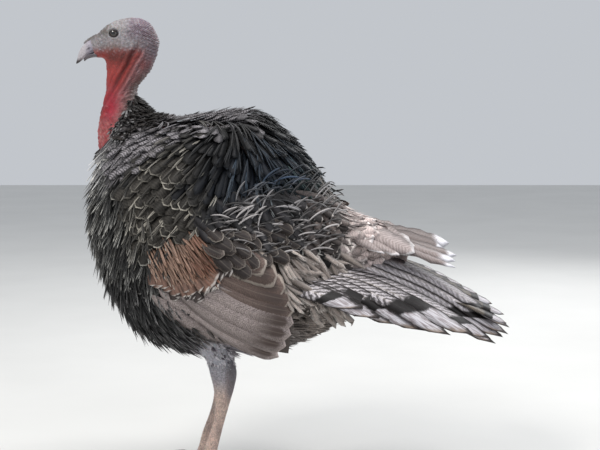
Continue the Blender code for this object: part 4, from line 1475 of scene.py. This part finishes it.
def wrist_border(name, side, finish, seed, source):
    """Two rows of blunt, pale-tipped feathers along the lower edge of the wrist patch."""
    count = 36
    i = np.arange(count)
    first = i < 18
    x = np.where(first, -0.226 + 0.0061 * i, -0.196 + 0.0045 * (i - 18)) \
        + 0.0015 * source.normal(0, 1, count)
    z = low_border(x + 0.006) + np.where(first, 0.020, 0.010) + 0.0015 * source.normal(0, 1, count)
    way = np.radians(np.interp(x, (-0.236, -0.18, -0.11), (80, 62, 26)))
    points, normals = side_lines(x, z, way + source.normal(0, 0.12, count), -0.1,
                                 0.026 * source.uniform(0.85, 1.15, count), 0.0,
                                 np.where(first, 0.0075, 0.0055), side)
    vane_piece(f"wrist_border_{name}", finish, "wing_feathers", points, normals,
               outline(np.full(count, 0.0092), 12, 0.84, 3.4),
               {"ground": np.where(first[:, None], tint(120, 92, 80), tint(58, 48, 46)),
                "barred": tint(70, 56, 50), "fringe": tint(206, 199, 194), "bars": 0.2,
                "tips": 1.0, "wide": np.where(first, 1.6, 1.2) * (1 + ramp(x, -0.17, -0.14)),
                "rimmed": source.uniform(0.6, 1.0, count)}, wing_patch(x, z), ragged=0.06,
               seed=seed + 30)


def make_wings():
    """Each folded wing: its body, flight feathers, coverts and the rust patch at the wrist."""
    plain = feather_material("wing vanes", pitch=0.0040, lean=0.9, softness=0.7, fringe=0.0020,
                             barbs=1.3, speckle=0.75, shaft=0.08, tip_shade=1.0)
    rusty = feather_material("wrist vanes", 0.25, pitch=0.0040, fringe=0.0016, barbs=1.6)
    dark = feather_material("scapular vanes", 0.4, pitch=0.0034, fringe=0.0014, barbs=1.5)
    edging = feather_material("scapular edges", fringe=0.0008, barbs=1.2)
    underside = feather_material("wing underside", barbs=1.2)
    source = np.random.default_rng(59)
    for name, side in SIDES:
        seed = 60 + side
        wing_core(name, side, underside)
        secondaries(name, side, plain, seed, source)
        side_tract(f"flank_tufts_{name}", plain, "body_feathers", side, in_flank_tufts, 0.0048, 0.050,
                   0.0054, lambda x, z: 58 + 14 * np.sin(x * 190 + z * 90), tuft_values, seed + 8,
                   low=-0.006, high=0.013, wander=0.16, camber=0.5, twist=0.3, ragged=0.6, steps=9)
        side_tract(f"wing_coverts_{name}", plain, "wing_feathers", side, in_wing_coverts, 0.0125,
                   0.046, 0.0115, lambda x, z: 43 + 0 * x, covert_values, seed + 2, low=0.002,
                   high=0.0095, camber=0.2, ragged=0.15)
        side_tract(f"wrist_patch_{name}", rusty, "wing_feathers", side, in_wrist, 0.0038, 0.036,
                   0.0022, lambda x, z: np.interp(x, (-0.24, -0.13), (66, 50)), wrist_values,
                   seed + 4, high=0.0050, wander=0.08, camber=0.6, steps=8)
        wrist_border(name, side, dark, seed, source)
        side_tract(f"scapulars_{name}", dark, "body_feathers", side, in_scapulars, 0.0115, 0.050,
                   0.0082, lambda x, z: np.interp(x, (-0.16, 0.06), (62, 44)), scapular_values,
                   seed + 6, high=0.0068, wander=0.24, ragged=0.20, camber=0.16, twist=0.16,
                   blunt=3.6, full=0.80, steps=14, rows=0.0085)
        side_tract(f"scapular_edges_{name}", edging, "body_feathers", side, in_edges, 0.0094, 0.036,
                   0.0015, lambda x, z: -42 + 14 * ramp(z, 0.45, 0.40), edge_values, seed + 40,
                   low=0.0062, high=0.0082, wander=0.34, camber=0.2, twist=0.2, blunt=3.0,
                   steps=10, bend=0.8)


# ---- tail ----
def fan_place(shape, bearing, reach, rise):
    """Points of a fan at bearings in degrees, distances from its root and rises off it."""
    (root_x, root_z), pitch, roll, arch = shape
    pitch, roll = math.radians(pitch), math.radians(roll)
    bearing = np.radians(bearing)
    side, ahead = reach * np.sin(bearing), reach * np.cos(bearing)
    lift = rise - arch * side * side
    y = side * math.cos(roll) - lift * math.sin(roll)
    up = side * math.sin(roll) + lift * math.cos(roll)
    return xyz(root_x + ahead * math.cos(pitch) + up * math.sin(pitch), y,
               root_z - ahead * math.sin(pitch) + up * math.cos(pitch))


def feather_length(bearing):
    """Length of a tail feather by its bearing: the middle ones are the longest."""
    near, far = (np.maximum(0, bearing / limit) for limit in TAIL_SPAN)
    return TAIL_LONGEST - (TAIL_LONGEST - TAIL_SHORTEST) * near ** 1.8 - 0.019 * far ** 2


def fan_lines(shape, bearing, start, end, rise, steps, sweep=0.0, droop=0.0, sag=0.0):
    """Centre lines of feathers spread in a fan."""
    share = np.linspace(0, 1, steps)[None]
    reach = start + (end[:, None] - start) * share
    turned = bearing[:, None] * (1 + sweep * share ** 2)
    height = rise[:, None] + droop * share ** 2.5 - sag * 4 * share * (1 - share)
    points = fan_place(shape, turned, reach, height)
    above = fan_place(shape, turned, reach, height + 0.001)
    return points, unit(above - points)


def tail_material():
    """Barred vanes with a black band and a pale tip."""
    made, tree, shader = new_material("tail vanes", Specular_IOR_Level=0.35)
    colour, rough, height = vane_pattern(tree, pitch=0.0125, lean=1.3, softness=0.9, fringe=0.0022,
                                         barbs=1.2, speckle=0.5, shaft=0.35)
    wander = noise(tree, object_place(tree), 90.0, 3.0, 0.7)
    left = plus(tree, attribute(tree, "left"), times(tree, minus(tree, wander, 0.5), 0.016))
    streaks = put(tree, "ShaderNodeCombineXYZ",
                  {i: times(tree, attribute(tree, title), scale) for i, (title, scale) in
                   enumerate((("run", 50.0), ("across", 420.0), ("pick", 40.0)))}).outputs[0]
    tip = colour_mix(tree, fade(tree, noise(tree, streaks, 1.0, 2.0, 0.6), 0.38, 0.66),
                     tint(206, 203, 208), tint(140, 130, 132))
    tip = colour_mix(tree, fade(tree, left, 0.018, 0.004, 0.0, 0.8), tip, tint(128, 108, 88))
    # Painted shadow: a dark line along each vane's edge, for the shade between overlapping tail
    # feathers.
    edge = fade(tree, attribute(tree, "edge"), 0.0040, 0.0014, 0.0, 0.9)
    for share, over in ((fade(tree, left, 0.100, 0.090), tint(24, 20, 20)),
                        (fade(tree, left, 0.063, 0.057), tip), (edge, tint(58, 50, 49))):
        colour = colour_mix(tree, share, colour, over)
    wire(tree, shader, colour, rough, height)
    return made


def near_quills(share, source):
    """Centre lines of the near half of the tail, and the way its feathers face."""
    i = np.linspace(0, len(NEAR_QUILLS) - 1, NEAR_COUNT)
    row = np.stack([np.interp(i, np.arange(len(NEAR_QUILLS)), part) for part in NEAR_QUILLS.T], -1)
    row[:, 3:] += source.normal(0, 1, (NEAR_COUNT, 3)) * (0.006, 0.004, 0.002)
    points = blend(row[:, None, :3], row[:, None, 3:], share[None])
    points[..., 2] += (0.006 + 0.002 * i)[:, None] * np.sin(math.pi * share)
    points[..., 1] -= 0.006 * np.sin(math.pi * share)
    lean = i / i[-1]
    facing = unit(xyz(0.10 + 0.15 * lean, -0.66 + 0.30 * lean, 0.76 + 0.20 * lean))
    facing = facing + 0.07 * np.cross(unit(row[:, 3:] - row[:, :3]), facing)
    return points, np.broadcast_to(unit(facing)[:, None], points.shape)


def far_quills(share, source):
    """The same for the far half, which is a little lower and shorter."""
    bearing = np.linspace(-10, 36, FAR_COUNT)
    end = feather_length(bearing) * source.uniform(0.97, 1.0, FAR_COUNT)
    end = end * (1 - 0.17 * ramp(bearing, -6, 22))
    points, normals = fan_lines(TAIL, bearing, 0.02, end, 0.0040 - 0.0013 * np.arange(FAR_COUNT),
                                len(share), sweep=-0.05)
    points[..., 2] -= 0.008 * share
    return points, normals


def tail_coverts(name, number, span, share, rise, width, ground, fringe, tipped, source, finish,
                 replaced):
    """One row of the feathers that lie over the tail's root."""
    bearing = np.linspace(*span, number) + source.normal(0, 2.0, number)
    end = feather_length(bearing) * share * source.uniform(0.84, 1.08, number)
    points, normals = fan_lines(COVERTS, bearing, -0.02, end,
                                rise + source.normal(0, 0.002, number), 20, droop=-0.008,
                                sag=-0.003)
    half = outline(width * source.uniform(0.85, 1.1, number), 20, 0.70, 2.6, 0.5)
    quill_piece(name, finish, "covert_feathers", points, unit(normals + np.array((0, -0.42, 0))),
                half, {"ground": tint(*ground) * source.uniform(0.6, 1.15, (number, 1)),
                       "barred": tint(104, 90, 84), "fringe": tint(*fringe), "bars": 0.45,
                       "rimmed": 0.95, "tips": 1.0 if tipped else 0.35,
                       "wide": source.uniform(1.0, 3.2, number) * (2.6 if tipped else 1.0)},
                replaced, camber=0.14, ragged=0.5, twist=0.2, seed=82)


def make_tail():
    """Eighteen tail feathers half spread, and three rows of coverts over their roots."""
    source = np.random.default_rng(80)
    count, steps = NEAR_COUNT + FAR_COUNT, 30
    share = np.linspace(0, 1, steps)
    far, near = far_quills(share, source), near_quills(share, source)
    points, normals = (np.concatenate(parts) for parts in zip(near, far))
    i = np.arange(count)
    near = (i < NEAR_COUNT).astype(float)
    half = outline(0.0195 - 0.0015 * near, steps, 0.90, 2.4, 0.3)
    half = np.maximum(half, 0.0120 * near[:, None] * (share > 0.9))
    # Painted shade: the far half's feathers get a darker olive ground than the near half's pale one,
    # for the half of the fan that lies in shadow.
    ground = layered(tint(104, 95, 82), ((204, 198, 202), near))
    ground = ground * source.uniform(0.85, 1.1, (count, 1))
    ends = np.where(near > 0.5, source.uniform(0.85, 1.7, count), 2.4) * np.where(i < 2, 1.3, 1.0)
    quill_piece("tail_quills", tail_material(), "tail_feathers", points, normals, half,
                {"ground": ground, "barred": tint(54, 48, 48), "rimmed": 0.0,
                 "bars": 0.7 + near * np.interp(i, (4, 8), (0.18, -0.2)), "ends": ends},
                ("tail",), thick=0.0008, camber=0.03, ragged=0.22, twist=0.03, seed=81,
                smooth=False, skew=1.5 * near)
    buff = feather_material("tail covert vanes", 0.25, pitch=0.006, lean=0.7, softness=0.8,
                            fringe=0.0035, barbs=1.2, speckle=0.1)
    tail_coverts("long_tail_coverts", 6, (-18, 24), 0.66, 0.002, 0.024, (150, 138, 136),
                 (236, 234, 240), True, source, buff, ("tail_coverts",))
    tail_coverts("middle_tail_coverts", 13, (-40, 31), 0.47, 0.007, 0.023, (190, 177, 175),
                 (236, 230, 230), False, source, buff, ())
    tail_coverts("short_tail_coverts", 17, (-52, 34), 0.30, 0.013, 0.020, (196, 182, 179),
                 (234, 226, 224), False, source, buff, ())


# ---- room, light and camera ----
FLOOR_SIZE = 14.0
SKY_COLOUR = (0.90, 0.94, 1.0, 1.0)
SKY_STRENGTH = 0.60
# Each lamp: its name, its place, the point it aims at, its size, its power and its colour.
LAMPS = (("key", (-1.5, -1.5, 2.7), (-0.05, 0, 0.45), 1.1, 50, (1.0, 0.97, 0.92)),
         ("top", (0.6, 0.4, 2.9), (0.0, 0, 0.45), 1.4, 44, (1.0, 0.98, 0.95)),
         ("fill", (1.9, -1.7, 1.1), (0.05, 0, 0.4), 1.6, 9, (0.92, 0.95, 1.0)),
         ("rim", (1.2, 2.2, 1.6), (0, 0, 0.45), 1.4, 22, (1.0, 1.0, 1.0)))
CAMERA_PLACE = (0.008, -2.083, 0.638)
CAMERA_FALL = 0.1024


def make_room():
    """The floor, the light and the camera."""
    bpy.ops.object.select_all(action="DESELECT")
    bpy.ops.mesh.primitive_plane_add(size=FLOOR_SIZE)
    floor = bpy.context.object
    floor.name = "floor"
    made, tree, shader = new_material("pale floor", Roughness=0.8)
    cloud = noise(tree, object_place(tree), 3.0, 3.0, 0.5)
    wire(tree, shader, colour_mix(tree, cloud, tint(206, 206, 204), tint(218, 218, 216)))
    floor.data.materials.append(made)
    world = bpy.data.worlds.new("studio")
    bpy.context.scene.world = world
    world.use_nodes = True
    sky = world.node_tree.nodes["Background"].inputs
    sky["Color"].default_value = SKY_COLOUR
    sky["Strength"].default_value = SKY_STRENGTH
    for name, place, aim, size, power, colour in LAMPS:
        data = bpy.data.lights.new(name, "AREA")
        data.size = size
        data.energy = power
        data.color = colour
        lamp = link(name, data, place)
        lamp.rotation_euler = (Vector(aim) - Vector(place)).to_track_quat("-Z", "Y").to_euler()
    data = bpy.data.cameras.new("camera")
    data.sensor_width = 36.0
    data.lens = 75.0
    camera = link("camera", data, CAMERA_PLACE)
    camera.rotation_euler = (math.pi / 2 - math.atan(CAMERA_FALL), 0, 0)
    bpy.context.scene.camera = camera
    bpy.context.scene.view_settings.view_transform = "Standard"


def main():
    make_skin()
    make_eyes()
    horn = bill_material()
    make_bill(horn)
    make_claws(horn)
    make_coat()
    make_wings()
    make_tail()
    make_room()


main()
